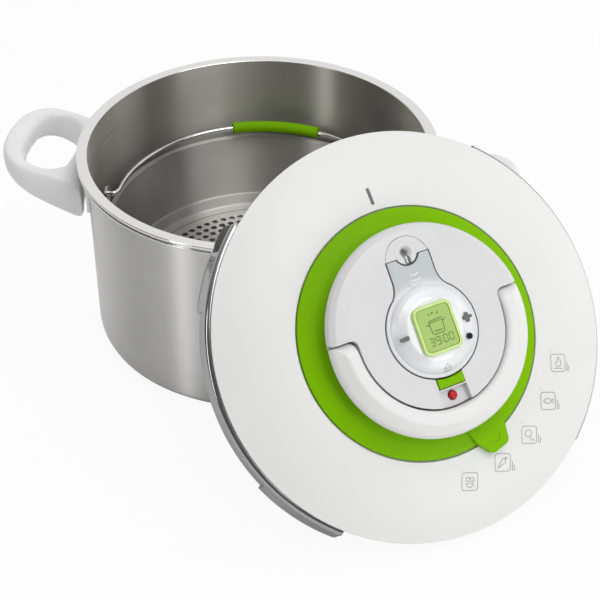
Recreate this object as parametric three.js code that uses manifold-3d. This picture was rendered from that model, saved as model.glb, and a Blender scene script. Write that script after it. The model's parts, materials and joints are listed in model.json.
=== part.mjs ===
// Stovetop pressure cooker: a steel pot with a steaming basket inside, and its lid leaning on the rim.
// Millimetres, +Z up. The origin is the middle of the pot's underside, and the side handles lie along X.
// The lid is modelled flat in its own frame and then stood against the pot: there +Z is the lid's axis,
// +Y its 12 o'clock and +X its 3 o'clock, and height 0 is the edge of the white cover.

import * as THREE from "three";
import { mergeVertices } from "three/addons/utils/BufferGeometryUtils.js";
import ManifoldModule from "manifold-3d";

const manifold = await ManifoldModule();
manifold.setup();

// Fits
const SEAT_GAP = 0.3; // between pieces that rest on each other
const RUN_GAP = 0.5; // between pieces that move past each other

// Facets
const ROUND = 48; // sides of the large turned pieces
const HUB_ROUND = 40;
const MEDIUM_ROUND = 32;
const SMALL_ROUND = 10;

// Pot
const POT_HEIGHT = 145;
const POT_RADIUS = 118.7; // outside of the wall
const POT_WALL = 1.5;
const POT_CORNER = 10;
const RIM_REACH = 6.3; // flange beyond the wall
const RIM_LIP = 5; // turned-down edge of the flange
const RIM_EDGE = 1; // softened edge of the flange
const BASE_CAP_WALL = 0.8;
const BASE_CORE_THICKNESS = 2.6;
const BASE_MARGIN = 2; // flat of the underside left outside the base cap

// Side handles of the pot
const GRIP_REACH = 62.3; // from the wall to the tip
const GRIP_SPREAD = 86;
const GRIP_BAR = 15.5;
const GRIP_HOLE_SPREAD = 64;
const GRIP_HOLE_REACH = 32;
const GRIP_TOP_DROP = 20; // top of the handle below the rim
const GRIP_TIP_HEIGHT = 15.5;
const GRIP_ROOT_HEIGHT = 31;
const GRIP_LEAN = 0.22; // rise for each millimetre outwards
const GRIP_TURN = 5; // degrees clockwise from the X axis
const GRIP_TAPER = 0.45; // share of the reach on which the root thins down
const GRIP_EDGE = 5; // softened edges
const GRIP_BULGE = 2.4; // power of the outline, 2 being an ellipse
const BRACKET_WALL = 2;
const BRACKET_SPAN = 34; // degrees round the pot
const BRACKET_HEIGHT = 26;
const SCREW_SHANK = 2.2;
const SCREW_HEAD = 4.5;
const SCREW_HEAD_HEIGHT = 2.6;

// Trivet and basket
const TRIVET_HEIGHT = 22;
const TRIVET_BAND = 9;
const TRIVET_WALL = 1.2;
const TRIVET_LEGS = 3;
const BASKET_WALL = 1;
const BASKET_HEIGHT = 59;
const BASKET_CLEARANCE = 9; // pot wall to basket rim
const BASKET_CURL = 3; // rolled rim
const BASKET_TAPER = 7; // rim to floor, on the radius
const BASKET_CORNER = 8;
const BASKET_LEDGE = 20; // inward flange that carries the floor
const PERFORATION_PITCH = 17;
const PERFORATION_RADIUS = 3.6;
const PERFORATION_SIDES = 6;
const PERFORATION_MARGIN = 10;
const BAIL_WIRE = 1.7;
const BAIL_LIFT = 10; // pivot above the basket rim
const BAIL_STUB = 5; // wire end beyond the hoop
const BAIL_GRIP_RADIUS = 4.2;
const BAIL_GRIP_SPAN = 37; // degrees
const LUG_WIDTH = 12;
const LUG_WALL = 1.5;

// Lid plate and seal
const PLATE_WALL = 1.2;
const PLATE_CLEARANCE = 0.8; // lip of the plate outside the pot rim
const PLATE_TOP = 4; // channel roof below the cover edge
const PLATE_LIP = 7;
const PLATE_SINK = 12; // flat underside below the cover edge
const SEAL_WIDTH = 20;
const SEAL_DEPTH = 4.5;

// Jaws
const JAW_WALL = 1.6;
const JAW_CLEARANCE = 4.5; // lip of the plate to the jaw wall
const JAW_HALF_SPAN = 49.5; // degrees each way from 3 and 9 o'clock
const JAW_CLAW_START = 22; // degrees
const JAW_CLAW_DEPTH = 5;
const JAW_CLAW_THICKNESS = 1.8;
const JAW_GRIP = 3; // lower leg under the pot rim
const JAW_TOP_LEG = 26;
const JAW_TRAVEL = 6;
const JAW_ARM_WIDTH = 18;

// Cover and selector ring
const COVER_OVERHANG = 3; // cover beyond the lip of the plate
const COVER_RISE = 11.2;
const COVER_WALL = 2.2;
const COVER_EDGE = 1;
const COVER_BULGE = 1.8; // power of the dome curve
const COVER_POST_RADIUS = 5;
const COVER_POST_ANGLES = [20, 160, 200, 340]; // degrees clockwise from 12 o'clock
const RING_WIDTH = 19.2;
const RING_SEAT = 3;
const RING_RISE = 4.4;
const POINTER_ANGLE = 165; // degrees clockwise from 12 o'clock
const POINTER_REACH = 10.5;
const POINTER_HALF_WIDTH = 13;
const POINTER_HEIGHT = 4.6;

// Control hub and folding handle
const HUB_TOP = 33.4;
const HUB_CROWN = 1.4;
const HUB_WALL = 1.7;
const HUB_FLARE = 7; // neck to widest part
const HUB_WIDEST = 27;
const HUB_COLUMN = 14;
const HUB_STEM = 8;
const HUB_STEM_DROP = 8; // below the plate
const HINGE_HEIGHT = 26;
const HANDLE_BAR = 17.5;
const HANDLE_BOTTOM = 20;
const HANDLE_TOP = 35.6;
const KNUCKLE_RADIUS = HANDLE_TOP - HINGE_HEIGHT;
const HANDLE_EDGE = 4.5;
const HANDLE_SEAM = 1; // open seam to the hub
const HANDLE_RIDGE = 8.5; // from the seam to the top of the bar
const HANDLE_SWING = 85; // degrees
const PIN_RADIUS = 2;
const PIN_SLEEVE = 0.4; // play round the pin
const BARREL_RADIUS = 5;
const BARREL_END = 1.2;
const PEG_RADIUS = 1.3;
const PEG_ENGAGEMENT = 1.2;
const NUT_RADIUS = 20;
const NUT_HEIGHT = 7;

// Timer
const TIMER_RADIUS = 29.9;
const TIMER_BOTTOM = 26;
const TIMER_TOP = 36.4;
const TIMER_DOME = 3.2;
const TIMER_EDGE = 1;
const NECK_HALF_WIDTH = 14.4;
const NECK_TOP = 46.5;
const DISPLAY_WIDTH = 26.6;
const DISPLAY_HEIGHT = 30.6;
const DISPLAY_CORNER = 5.5;
const BEZEL_RISE = 2.2;
const BEZEL_FRAME = 2;
const LENS_THICKNESS = 0.9;
const KEY_REACH = 21.8; // keys from the middle of the timer
const KEY_LENGTH = 6;
const KEY_WIDTH = 2.1;
const KEY_HEIGHT = 1.4;
const KEY_STROKE = 0.6;
const STATUS_LENS_RADIUS = 1.6;
const STATUS_LENS_PLACE = [19.3, -11.4];

// Valves, indicator and release button
const VALVE_PLACE = 49.6; // towards 12 o'clock
const VALVE_RADIUS = 7.4;
const VALVE_BORE = 3;
const VALVE_SLOT = 2;
const VALVE_PIPE = 4.5;
const VALVE_CLEARANCE = 2; // round the valve, where the timer lifts past it
const SHROUD_THICKNESS = 3;
const SAFETY_PLACE = [-30, -30];
const SAFETY_RADIUS = 5;
const FLANGE_EXTRA = 3; // flanges under the plate
const FLANGE_THICKNESS = 1.6;
const INDICATOR_PLACE = -42;
const INDICATOR_HEAD = 2.7;
const INDICATOR_SHAFT = 1.8;
const INDICATOR_RISE = 4;
const CHANNEL_DEPTH = 4.4; // groove round the indicator
const BUTTON_HALF_WIDTH = 9.5;
const BUTTON_DEPTH = 6.5;
const BUTTON_HEIGHT = 8.5;
const BUTTON_STROKE = 2;
const SPRING_RADIUS = 2.6;
const SPRING_WIRE = 0.4;
const SPRING_TURNS = 4;
const SPRING_HEIGHT = 6;

// Stance of the lid against the pot
const LID_REST = 69.235; // where the rim touches the plate, above the middle of the lid
const LID_AZIMUTH = -59.5; // degrees, the way it faces
const LID_ROLL = 3.5; // degrees round its own axis
const LID_SHIFT = 27; // sideways along the rim

// Worked out from the driving dimensions
const rimRadius = POT_RADIUS + RIM_REACH;
const potInner = POT_RADIUS - POT_WALL;
const potBottom = BASE_CAP_WALL + BASE_CORE_THICKNESS + 2 * SEAT_GAP;
const potFloor = potBottom + POT_WALL;
const gripTop = POT_HEIGHT - GRIP_TOP_DROP;
const bracketRadius = POT_RADIUS + SEAT_GAP;
const gripBaseRadius = bracketRadius + BRACKET_WALL + RUN_GAP;
const gripMiddle = gripTop - GRIP_ROOT_HEIGHT / 2;

const basketFloor = potFloor + TRIVET_HEIGHT + 2 * SEAT_GAP;
const basketRim = basketFloor + BASKET_HEIGHT;
const basketRadius = potInner - BASKET_CLEARANCE;
const basketTopRadius = basketRadius - BASKET_CURL;
const basketFloorRadius = basketTopRadius - BASKET_TAPER;
const trivetRadius = basketFloorRadius - BASKET_LEDGE + TRIVET_BAND; // under the ledge of the basket
const bailHeight = basketRim + BAIL_LIFT;
const lugInner = basketRadius + SEAT_GAP;
const hoopRadius = lugInner - BAIL_WIRE - BAIL_STUB;

const plateRadius = rimRadius + PLATE_CLEARANCE + PLATE_WALL;
const lipBottom = -PLATE_TOP - PLATE_LIP;
const plateFace = -PLATE_SINK;
const plateFloor = plateFace + PLATE_WALL;
const channelRoof = -PLATE_TOP - PLATE_WALL;
const sealOuter = plateRadius - PLATE_WALL - RUN_GAP;
const sealInner = sealOuter - SEAL_WIDTH;
const sealTop = channelRoof - SEAT_GAP;
const sealFace = sealTop - SEAL_DEPTH;
const dishRadius = sealInner - SEAL_WIDTH / 2;

const jawTop = -PLATE_TOP + RUN_GAP + JAW_WALL;
const jawInner = plateRadius + JAW_CLEARANCE;
const jawOuter = jawInner + JAW_WALL;
const jawLegTop = sealFace - RIM_LIP - RUN_GAP;
const jawBottom = jawLegTop - JAW_WALL;
const armBottom = jawTop + SEAT_GAP;
const armTop = armBottom + JAW_WALL;

const pegTopRadius = BARREL_RADIUS - PEG_ENGAGEMENT;
const barrelLead = JAW_TRAVEL / (THREE.MathUtils.degToRad(HANDLE_SWING) * pegTopRadius);
const grooveHalfWidth = (PEG_RADIUS + RUN_GAP) * Math.hypot(1, barrelLead);
const barrelStart = TIMER_RADIUS + 2 * RUN_GAP + HUB_WALL;
const barrelLength = JAW_TRAVEL + 2 * grooveHalfWidth + 2 * BARREL_END;
const barrelStop = barrelStart + barrelLength;
const pegPlace = barrelStart + BARREL_END + grooveHalfWidth;
const seamRadius = barrelStop + RUN_GAP + HUB_WALL;
const handleInner = seamRadius + HANDLE_SEAM;
const handleOuter = handleInner + HANDLE_BAR;
const hubRadius = handleOuter;
const hubNeck = hubRadius - HUB_FLARE;
const hubBottom = armTop + SEAT_GAP;
const coverRadius = plateRadius + COVER_OVERHANG;
const coverHole = hubNeck - 2;
const ringInner = hubNeck + 2 * RUN_GAP;
const ringOuter = ringInner + RING_WIDTH;
const domeStart = ringOuter + 2 * RUN_GAP;
const ringSeat = COVER_RISE - RING_SEAT;

const domeTop = TIMER_TOP + TIMER_DOME;
const bezelBottom = domeTop + SEAT_GAP;
const neckEndRadius = NECK_HALF_WIDTH;
const neckEndCentre = VALVE_PLACE - neckEndRadius / 3;
const buttonInner = TIMER_RADIUS + 2 * RUN_GAP;
const buttonOuter = buttonInner + BUTTON_DEPTH;
const buttonBottom = HUB_TOP + HUB_CROWN - BUTTON_HEIGHT;
const springBottom = buttonBottom - BUTTON_STROKE - SPRING_HEIGHT - 2 * SEAT_GAP;
const channelFloor = HUB_TOP - CHANNEL_DEPTH;

// Geometry helpers

/** Drops everything but position, merges shared corners and turns the faces outwards. */
function closeUp(geometry) {
  const bare = geometry.clone();
  bare.deleteAttribute("normal");
  bare.deleteAttribute("uv");
  const merged = mergeVertices(bare, 1e-4);
  const position = merged.attributes.position;
  const source = merged.index.array;
  const kept = [];
  let volume = 0;
  const a = new THREE.Vector3();
  const b = new THREE.Vector3();
  const c = new THREE.Vector3();
  for (let i = 0; i < source.length; i += 3) {
    const [p, q, r] = [source[i], source[i + 1], source[i + 2]];
    if (p === q || q === r || r === p) continue;
    kept.push(p, q, r);
    a.fromBufferAttribute(position, p);
    b.fromBufferAttribute(position, q);
    c.fromBufferAttribute(position, r);
    volume += a.dot(b.cross(c));
  }
  if (volume < 0) {
    for (let i = 0; i < kept.length; i += 3) [kept[i], kept[i + 1]] = [kept[i + 1], kept[i]];
  }
  merged.setIndex(kept);
  return merged;
}

function toSolid(geometry) {
  const closed = closeUp(geometry);
  const mesh = new manifold.Mesh({
    numProp: 3,
    vertProperties: new Float32Array(closed.attributes.position.array),
    triVerts: new Uint32Array(closed.index.array),
  });
  return new manifold.Manifold(mesh);
}

function toGeometry(solid) {
  const mesh = solid.getMesh();
  const geometry = new THREE.BufferGeometry();
  geometry.setAttribute("position", new THREE.BufferAttribute(new Float32Array(mesh.vertProperties), 3));
  geometry.setIndex(Array.from(mesh.triVerts));
  return geometry;
}

function cut(geometry, ...tools) {
  return toGeometry(tools.reduce((solid, tool) => solid.subtract(toSolid(tool)), toSolid(geometry)));
}

function join(geometry, ...additions) {
  return toGeometry(additions.reduce((solid, piece) => solid.add(toSolid(piece)), toSolid(geometry)));
}

function common(geometry, other) {
  return toGeometry(toSolid(geometry).intersect(toSolid(other)));
}

/** Points of an arc, angles in degrees. */
function arcPoints(x, y, radius, from, to, steps) {
  return Array.from({ length: steps + 1 }, (_, i) => {
    const angle = THREE.MathUtils.degToRad(from + ((to - from) * i) / steps);
    return [x + radius * Math.cos(angle), y + radius * Math.sin(angle)];
  });
}

function circlePoints(x, y, radius, sides) {
  return arcPoints(x, y, radius, 0, 360, sides).slice(0, sides);
}

function vectors(points) {
  return points.map(([x, y]) => new THREE.Vector2(x, y));
}

function outline(points, holes = []) {
  const shape = new THREE.Shape(vectors(points));
  shape.holes = holes.map((hole) => new THREE.Path(vectors(hole)));
  return shape;
}

/** Solid of revolution about Z from [radius, height] points, on the axis or closing on itself. */
function turned(profile, sides = ROUND) {
  const points = vectors(profile);
  if (profile[0][0] > 0) points.push(points[0].clone());
  return new THREE.LatheGeometry(points, sides).rotateX(Math.PI / 2);
}

/** Part of a turned ring between two angles in degrees, measured from +X towards +Y. */
function turnedArc(profile, from, to, steps) {
  const section = THREE.ShapeUtils.isClockWise(vectors(profile)) ? [...profile].reverse() : profile;
  const rings = Array.from({ length: steps + 1 }, (_, i) => {
    const angle = THREE.MathUtils.degToRad(from + ((to - from) * i) / steps);
    return section.map(([r, z]) => new THREE.Vector3(r * Math.cos(angle), r * Math.sin(angle), z));
  });
  return loft(rings, THREE.ShapeUtils.triangulateShape(vectors(section), []));
}

/** Skin over rings of equal length. With cap triangles the two ends close, otherwise the rings form a loop. */
function loft(rings, cap = null) {
  const count = rings[0].length;
  const index = [];
  const spans = cap ? rings.length - 1 : rings.length;
  for (let i = 0; i < spans; i += 1) {
    const near = i * count;
    const far = ((i + 1) % rings.length) * count;
    for (let j = 0; j < count; j += 1) {
      const k = (j + 1) % count;
      index.push(near + j, near + k, far + k, near + j, far + k, far + j);
    }
  }
  if (cap) {
    const last = (rings.length - 1) * count;
    for (const [a, b, c] of cap) index.push(a, c, b, last + a, last + b, last + c);
  }
  const geometry = new THREE.BufferGeometry().setFromPoints(rings.flat());
  geometry.setIndex(index);
  return geometry;
}

/** Prism of an outline between two heights, with softened edges if asked. */
function prism(shape, bottom, top, edge = 0) {
  const settings = { depth: top - bottom - 2 * edge, curveSegments: 6, bevelEnabled: edge > 0 };
  if (edge > 0) {
    Object.assign(settings, { bevelThickness: edge, bevelSize: edge, bevelOffset: -edge, bevelSegments: 1 });
  }
  return new THREE.ExtrudeGeometry(shape, settings).translate(0, 0, bottom + edge);
}

function block(x, y, z) {
  return new THREE.BoxGeometry(x[1] - x[0], y[1] - y[0], z[1] - z[0]).translate(
    (x[0] + x[1]) / 2,
    (y[0] + y[1]) / 2,
    (z[0] + z[1]) / 2,
  );
}

/** Round rod along X. */
function crossRod(radius, from, to, y, z, sides = SMALL_ROUND) {
  const rod = new THREE.CylinderGeometry(radius, radius, to - from, sides).rotateZ(Math.PI / 2);
  return rod.translate((from + to) / 2, y, z);
}

/** Round rod along Z. */
function uprightRod(radius, bottom, top, x, y, sides = SMALL_ROUND) {
  const rod = new THREE.CylinderGeometry(radius, radius, top - bottom, sides).rotateX(Math.PI / 2);
  return rod.translate(x, y, (bottom + top) / 2);
}

/** Tube of a given section along a curve. */
function swept(shape, path, steps) {
  return new THREE.ExtrudeGeometry(shape, { extrudePath: path, steps, curveSegments: 6, bevelEnabled: false });
}

/** Section of a bar with softened corners, as [across, up] points. */
function softBox(inner, outer, bottom, top, edge) {
  return [
    [inner + edge, top],
    [outer - edge, top],
    [outer, top - edge],
    [outer, bottom + edge],
    [outer - edge, bottom],
    [inner + edge, bottom],
    [inner, bottom + edge],
    [inner, top - edge],
  ];
}

/** Direction on the lid's face from a clock angle in degrees. */
function clockPlace(radius, degrees) {
  const angle = THREE.MathUtils.degToRad(degrees);
  return [radius * Math.sin(angle), radius * Math.cos(angle)];
}

class Hoop extends THREE.Curve {
  constructor(radius, from, to, height) {
    super();
    Object.assign(this, { radius, from, to, height });
  }

  getPoint(t, target = new THREE.Vector3()) {
    const angle = THREE.MathUtils.degToRad(this.from + (this.to - this.from) * t);
    return target.set(this.radius * Math.cos(angle), this.radius * Math.sin(angle), this.height);
  }
}

class Helix extends THREE.Curve {
  constructor(radius, turns, bottom, height) {
    super();
    Object.assign(this, { radius, turns, bottom, height });
  }

  getPoint(t, target = new THREE.Vector3()) {
    const angle = 2 * Math.PI * this.turns * t;
    return target.set(this.radius * Math.cos(angle), this.radius * Math.sin(angle), this.bottom + this.height * t);
  }
}

// Finishes
const finish = (color, roughness, metalness) => new THREE.MeshStandardMaterial({ color, roughness, metalness });
const brushedSteel = finish(0xb9b6b2, 0.35, 1);
const polishedSteel = finish(0xd0d0d0, 0.15, 1);
const aluminium = finish(0xc8cacc, 0.5, 1);
const whitePlastic = finish(0xe9e9e7, 0.4, 0);
const greenPlastic = finish(0x86be28, 0.4, 0);
const silverPlastic = finish(0xc6ccd2, 0.35, 0.2);
const greyKeys = finish(0x76797c, 0.5, 0);
const displayGreen = finish(0xaecb69, 0.25, 0);
const redPlastic = finish(0xc62a30, 0.35, 0);
const blackPlastic = finish(0x1b1b1c, 0.4, 0);
const greyRubber = finish(0x8f9294, 0.8, 0);

function addPart(group, name, geometry, material) {
  const mesh = new THREE.Mesh(closeUp(geometry), material);
  mesh.name = name;
  group.add(mesh);
}

// Pot

function potBody() {
  const centre = [POT_RADIUS - POT_CORNER, potBottom + POT_CORNER];
  const lipInner = rimRadius - POT_WALL;
  const underRim = POT_HEIGHT - POT_WALL;
  return turned([
    [0, potBottom],
    ...arcPoints(...centre, POT_CORNER, -90, 0, 3),
    [POT_RADIUS, underRim - RIM_EDGE],
    [POT_RADIUS + RIM_EDGE, underRim],
    [lipInner, underRim],
    [lipInner, POT_HEIGHT - RIM_LIP],
    [rimRadius, POT_HEIGHT - RIM_LIP],
    [rimRadius, POT_HEIGHT - RIM_EDGE],
    [rimRadius - RIM_EDGE, POT_HEIGHT],
    [potInner + RIM_EDGE, POT_HEIGHT],
    [potInner, POT_HEIGHT - RIM_EDGE],
    ...arcPoints(...centre, POT_CORNER - POT_WALL, 0, -90, 3),
    [0, potFloor],
  ]);
}

function baseCap(radius) {
  const top = potBottom - SEAT_GAP;
  return turned([
    [0, 0],
    [radius - BASE_CAP_WALL, 0],
    [radius, BASE_CAP_WALL],
    [radius, top],
    [radius - BASE_CAP_WALL, top],
    [radius - BASE_CAP_WALL, BASE_CAP_WALL],
    [0, BASE_CAP_WALL],
  ]);
}

function baseCore(radius) {
  const bottom = BASE_CAP_WALL + SEAT_GAP;
  const top = bottom + BASE_CORE_THICKNESS;
  return turned([[0, bottom], [radius, bottom], [radius, top], [0, top]], MEDIUM_ROUND);
}

/** Loop handle on the +X side: rounded outside, hollowed to the pot inside, deeper at the root than at the tip. */
function sideGrip() {
  const tip = POT_RADIUS + GRIP_REACH;
  const holeX = tip - GRIP_BAR - GRIP_HOLE_REACH / 2;
  const halfSpread = GRIP_SPREAD / 2;
  const stations = 36;
  const rings = Array.from({ length: stations }, (_, i) => {
    const angle = (2 * Math.PI * i) / stations;
    const c = Math.cos(angle);
    const s = Math.sin(angle);
    const bulged = (x, y) => (Math.abs(c / x) ** GRIP_BULGE + Math.abs(s / y) ** GRIP_BULGE) ** (-1 / GRIP_BULGE);
    const hole = bulged(GRIP_HOLE_REACH / 2, GRIP_HOLE_SPREAD / 2);
    let rim = bulged(tip - holeX, halfSpread);
    if (c < 0) {
      const root = gripBaseRadius ** 2 - (holeX * s) ** 2;
      const wall = root > 0 ? -holeX * c - Math.sqrt(root) : Infinity;
      rim = Math.min(wall, halfSpread / Math.max(Math.abs(s), 1e-6));
    }
    const edge = Math.min(GRIP_EDGE, (rim - hole) / 3);
    const heightAt = (t) => {
      const share = (holeX + t * c - gripBaseRadius) / (tip - gripBaseRadius) / GRIP_TAPER;
      const thinned = THREE.MathUtils.clamp(share, 0, 1);
      return THREE.MathUtils.lerp(GRIP_ROOT_HEIGHT, GRIP_TIP_HEIGHT, thinned * (2 - thinned));
    };
    return softBox(hole, rim, 0, 1, 0).map((_point, corner) => {
      const section = softBox(hole, rim, gripTop - heightAt(rim), gripTop, edge)[corner];
      const x = holeX + section[0] * c;
      return new THREE.Vector3(x, section[0] * s, section[1] + GRIP_LEAN * (x - gripBaseRadius));
    });
  });
  const bore = crossRod(SCREW_SHANK + SEAT_GAP, POT_RADIUS, holeX, 0, gripMiddle);
  return cut(loft(rings), bore);
}

function gripBracket() {
  const bottom = gripMiddle - BRACKET_HEIGHT / 2;
  const outer = bracketRadius + BRACKET_WALL;
  const plate = turnedArc(
    [
      [bracketRadius, bottom],
      [outer, bottom],
      [outer, bottom + BRACKET_HEIGHT],
      [bracketRadius, bottom + BRACKET_HEIGHT],
    ],
    -BRACKET_SPAN / 2,
    BRACKET_SPAN / 2,
    8,
  );
  return cut(plate, crossRod(SCREW_SHANK + SEAT_GAP, POT_RADIUS - BRACKET_WALL, rimRadius + BRACKET_WALL, 0, gripMiddle));
}

function gripScrew() {
  const headStart = POT_RADIUS + GRIP_REACH - GRIP_BAR - GRIP_HOLE_REACH + SEAT_GAP;
  const screw = turned(
    [
      [0, bracketRadius + SEAT_GAP],
      [SCREW_SHANK, bracketRadius + SEAT_GAP],
      [SCREW_SHANK, headStart],
      [SCREW_HEAD, headStart],
      [SCREW_HEAD * 0.8, headStart + SCREW_HEAD_HEIGHT],
      [0, headStart + SCREW_HEAD_HEIGHT],
    ],
    SMALL_ROUND,
  );
  return screw.rotateY(Math.PI / 2).translate(0, 0, gripMiddle);
}

function addPot(model) {
  const baseRadius = POT_RADIUS - POT_CORNER - BASE_MARGIN;
  addPart(model, "pot_body", potBody(), brushedSteel);
  addPart(model, "base_core", baseCore(baseRadius - BASE_CAP_WALL - SEAT_GAP), aluminium);
  addPart(model, "base_cap", baseCap(baseRadius), brushedSteel);
  for (const [side, turn] of [["right", 0], ["left", Math.PI]]) {
    const group = new THREE.Group();
    group.rotation.z = turn - THREE.MathUtils.degToRad(GRIP_TURN);
    addPart(group, `${side}_grip`, sideGrip(), whitePlastic);
    addPart(group, `${side}_grip_bracket`, gripBracket(), polishedSteel);
    addPart(group, `${side}_grip_screw`, gripScrew(), polishedSteel);
    model.add(group);
  }
}

// Trivet and basket

function trivet() {
  const top = potFloor + SEAT_GAP + TRIVET_HEIGHT;
  const inner = trivetRadius - TRIVET_BAND;
  const band = turned(
    [
      [inner, top - TRIVET_WALL],
      [trivetRadius, top - TRIVET_WALL],
      [trivetRadius, top],
      [inner, top],
    ],
    MEDIUM_ROUND,
  );
  const legs = Array.from({ length: TRIVET_LEGS }, (_, i) => {
    const middle = (inner + trivetRadius) / 2;
    const foot = outline([
      [middle, 0],
      [middle + TRIVET_BAND, 0],
      [middle + TRIVET_BAND, TRIVET_WALL],
      [middle + TRIVET_WALL, TRIVET_WALL],
      [middle + TRIVET_WALL, TRIVET_HEIGHT - TRIVET_WALL / 2],
      [middle, TRIVET_HEIGHT - TRIVET_WALL / 2],
    ]);
    const leg = prism(foot, -TRIVET_BAND / 2, TRIVET_BAND / 2).rotateX(Math.PI / 2);
    return leg.rotateZ((2 * Math.PI * i) / TRIVET_LEGS + Math.PI / 2).translate(0, 0, potFloor + SEAT_GAP);
  });
  return join(band, ...legs);
}

function basketWall() {
  const inner = basketFloorRadius - BASKET_LEDGE;
  const bend = [basketFloorRadius - BASKET_CORNER, basketFloor + BASKET_CORNER];
  return turned([
    [inner, basketFloor],
    ...arcPoints(...bend, BASKET_CORNER, -90, 0, 2),
    [basketTopRadius, basketRim - BASKET_CURL],
    [basketRadius, basketRim - BASKET_CURL],
    [basketRadius, basketRim - BASKET_WALL],
    [basketRadius - BASKET_WALL, basketRim],
    [basketTopRadius - BASKET_WALL, basketRim],
    ...arcPoints(...bend, BASKET_CORNER - BASKET_WALL, 0, -90, 2),
    [inner, basketFloor + BASKET_WALL],
  ]);
}

/** Round sheet with holes on a triangular grid. */
function basketFloorPlate() {
  const radius = basketFloorRadius - BASKET_CORNER - SEAT_GAP;
  const reach = radius - PERFORATION_MARGIN;
  const rowPitch = PERFORATION_PITCH * Math.sqrt(0.75);
  const rows = Math.floor(reach / rowPitch);
  const holes = [];
  for (let row = -rows; row <= rows; row += 1) {
    const start = Math.abs(row % 2) * (PERFORATION_PITCH / 2);
    const columns = Math.ceil(reach / PERFORATION_PITCH);
    for (let column = -columns; column <= columns; column += 1) {
      const x = start + column * PERFORATION_PITCH;
      const y = row * rowPitch;
      if (Math.hypot(x, y) <= reach) holes.push(circlePoints(x, y, PERFORATION_RADIUS, PERFORATION_SIDES));
    }
  }
  const bottom = basketFloor + BASKET_WALL + SEAT_GAP;
  return prism(outline(circlePoints(0, 0, radius, ROUND), holes), bottom, bottom + BASKET_WALL);
}

function bailLug() {
  const top = bailHeight + LUG_WIDTH / 2;
  const tab = outline(
    [
      [-LUG_WIDTH / 2, basketRim - BASKET_CURL],
      [LUG_WIDTH / 2, basketRim - BASKET_CURL],
      ...arcPoints(0, top - LUG_WIDTH / 2, LUG_WIDTH / 2, 0, 180, 6),
    ],
    [circlePoints(0, bailHeight, BAIL_WIRE + RUN_GAP, 8)],
  );
  const plate = prism(tab, 0, LUG_WALL);
  return plate.rotateX(Math.PI / 2).rotateZ(Math.PI / 2).translate(lugInner, 0, 0);
}

function bailWire() {
  const bend = BAIL_STUB / hoopRadius;
  const hoop = Array.from({ length: 15 }, (_, i) => {
    const angle = THREE.MathUtils.lerp(bend, Math.PI - bend, i / 14);
    return new THREE.Vector3(hoopRadius * Math.cos(angle), hoopRadius * Math.sin(angle), bailHeight);
  });
  const stub = (side, x) => new THREE.Vector3(side * x, 0, bailHeight);
  const end = lugInner + LUG_WALL + BAIL_WIRE / 2;
  const face = lugInner - SEAT_GAP;
  const start = hoopRadius + BAIL_STUB / 2;
  const points = [
    stub(1, end),
    stub(1, face),
    stub(1, start),
    ...hoop,
    stub(-1, start),
    stub(-1, face),
    stub(-1, end),
  ];
  return swept(outline(circlePoints(0, 0, BAIL_WIRE, 6)), new THREE.CatmullRomCurve3(points), 44);
}

function bailGrip() {
  const section = outline(circlePoints(0, 0, BAIL_GRIP_RADIUS, 8), [circlePoints(0, 0, BAIL_WIRE + RUN_GAP, 8)]);
  const hoop = new Hoop(hoopRadius, 90 - BAIL_GRIP_SPAN / 2, 90 + BAIL_GRIP_SPAN / 2, bailHeight);
  return swept(section, hoop, 8);
}

function addBasket(model) {
  addPart(model, "trivet", trivet(), brushedSteel);
  addPart(model, "basket_wall", basketWall(), brushedSteel);
  addPart(model, "basket_floor", basketFloorPlate(), brushedSteel);
  addPart(model, "bail_lug_right", bailLug(), polishedSteel);
  addPart(model, "bail_lug_left", bailLug().rotateZ(Math.PI), polishedSteel);
  addPart(model, "bail_wire", bailWire(), polishedSteel);
  addPart(model, "bail_grip", bailGrip(), greenPlastic);
}

// Lid plate, seal and jaws

function lidPlate() {
  const lipInner = plateRadius - PLATE_WALL;
  const step = PLATE_SINK - PLATE_TOP - PLATE_WALL;
  const plate = turned([
    [HUB_STEM + SEAT_GAP, plateFace],
    [dishRadius, plateFace],
    [dishRadius + step / 2, channelRoof],
    [lipInner - PLATE_WALL, channelRoof],
    [lipInner, channelRoof - PLATE_WALL],
    [lipInner, lipBottom],
    [plateRadius, lipBottom],
    [plateRadius, -PLATE_TOP - PLATE_WALL],
    [plateRadius - PLATE_WALL, -PLATE_TOP],
    [dishRadius + step / 2 - PLATE_WALL, -PLATE_TOP],
    [dishRadius - PLATE_WALL, plateFloor],
    [HUB_STEM + SEAT_GAP, plateFloor],
  ]);
  const through = (radius, x, y) => uprightRod(radius + RUN_GAP, plateFace - PLATE_WALL, plateFloor + PLATE_WALL, x, y);
  return cut(
    plate,
    through(VALVE_PIPE, 0, VALVE_PLACE),
    through(SAFETY_RADIUS, ...SAFETY_PLACE),
    through(INDICATOR_SHAFT, 0, INDICATOR_PLACE),
  );
}

function lidSeal() {
  const lip = SEAL_DEPTH / 2;
  return turned([
    [sealInner, sealTop - lip / 2],
    [sealInner + lip, sealTop],
    [sealOuter - lip / 2, sealTop],
    [sealOuter, sealTop - lip / 2],
    [sealOuter, sealFace],
    [sealOuter - lip, sealFace],
    [sealOuter - 2 * lip, sealFace + lip],
    [sealInner + 2 * lip, sealFace + lip],
    [sealInner + lip, sealFace],
  ], MEDIUM_ROUND);
}

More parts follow.
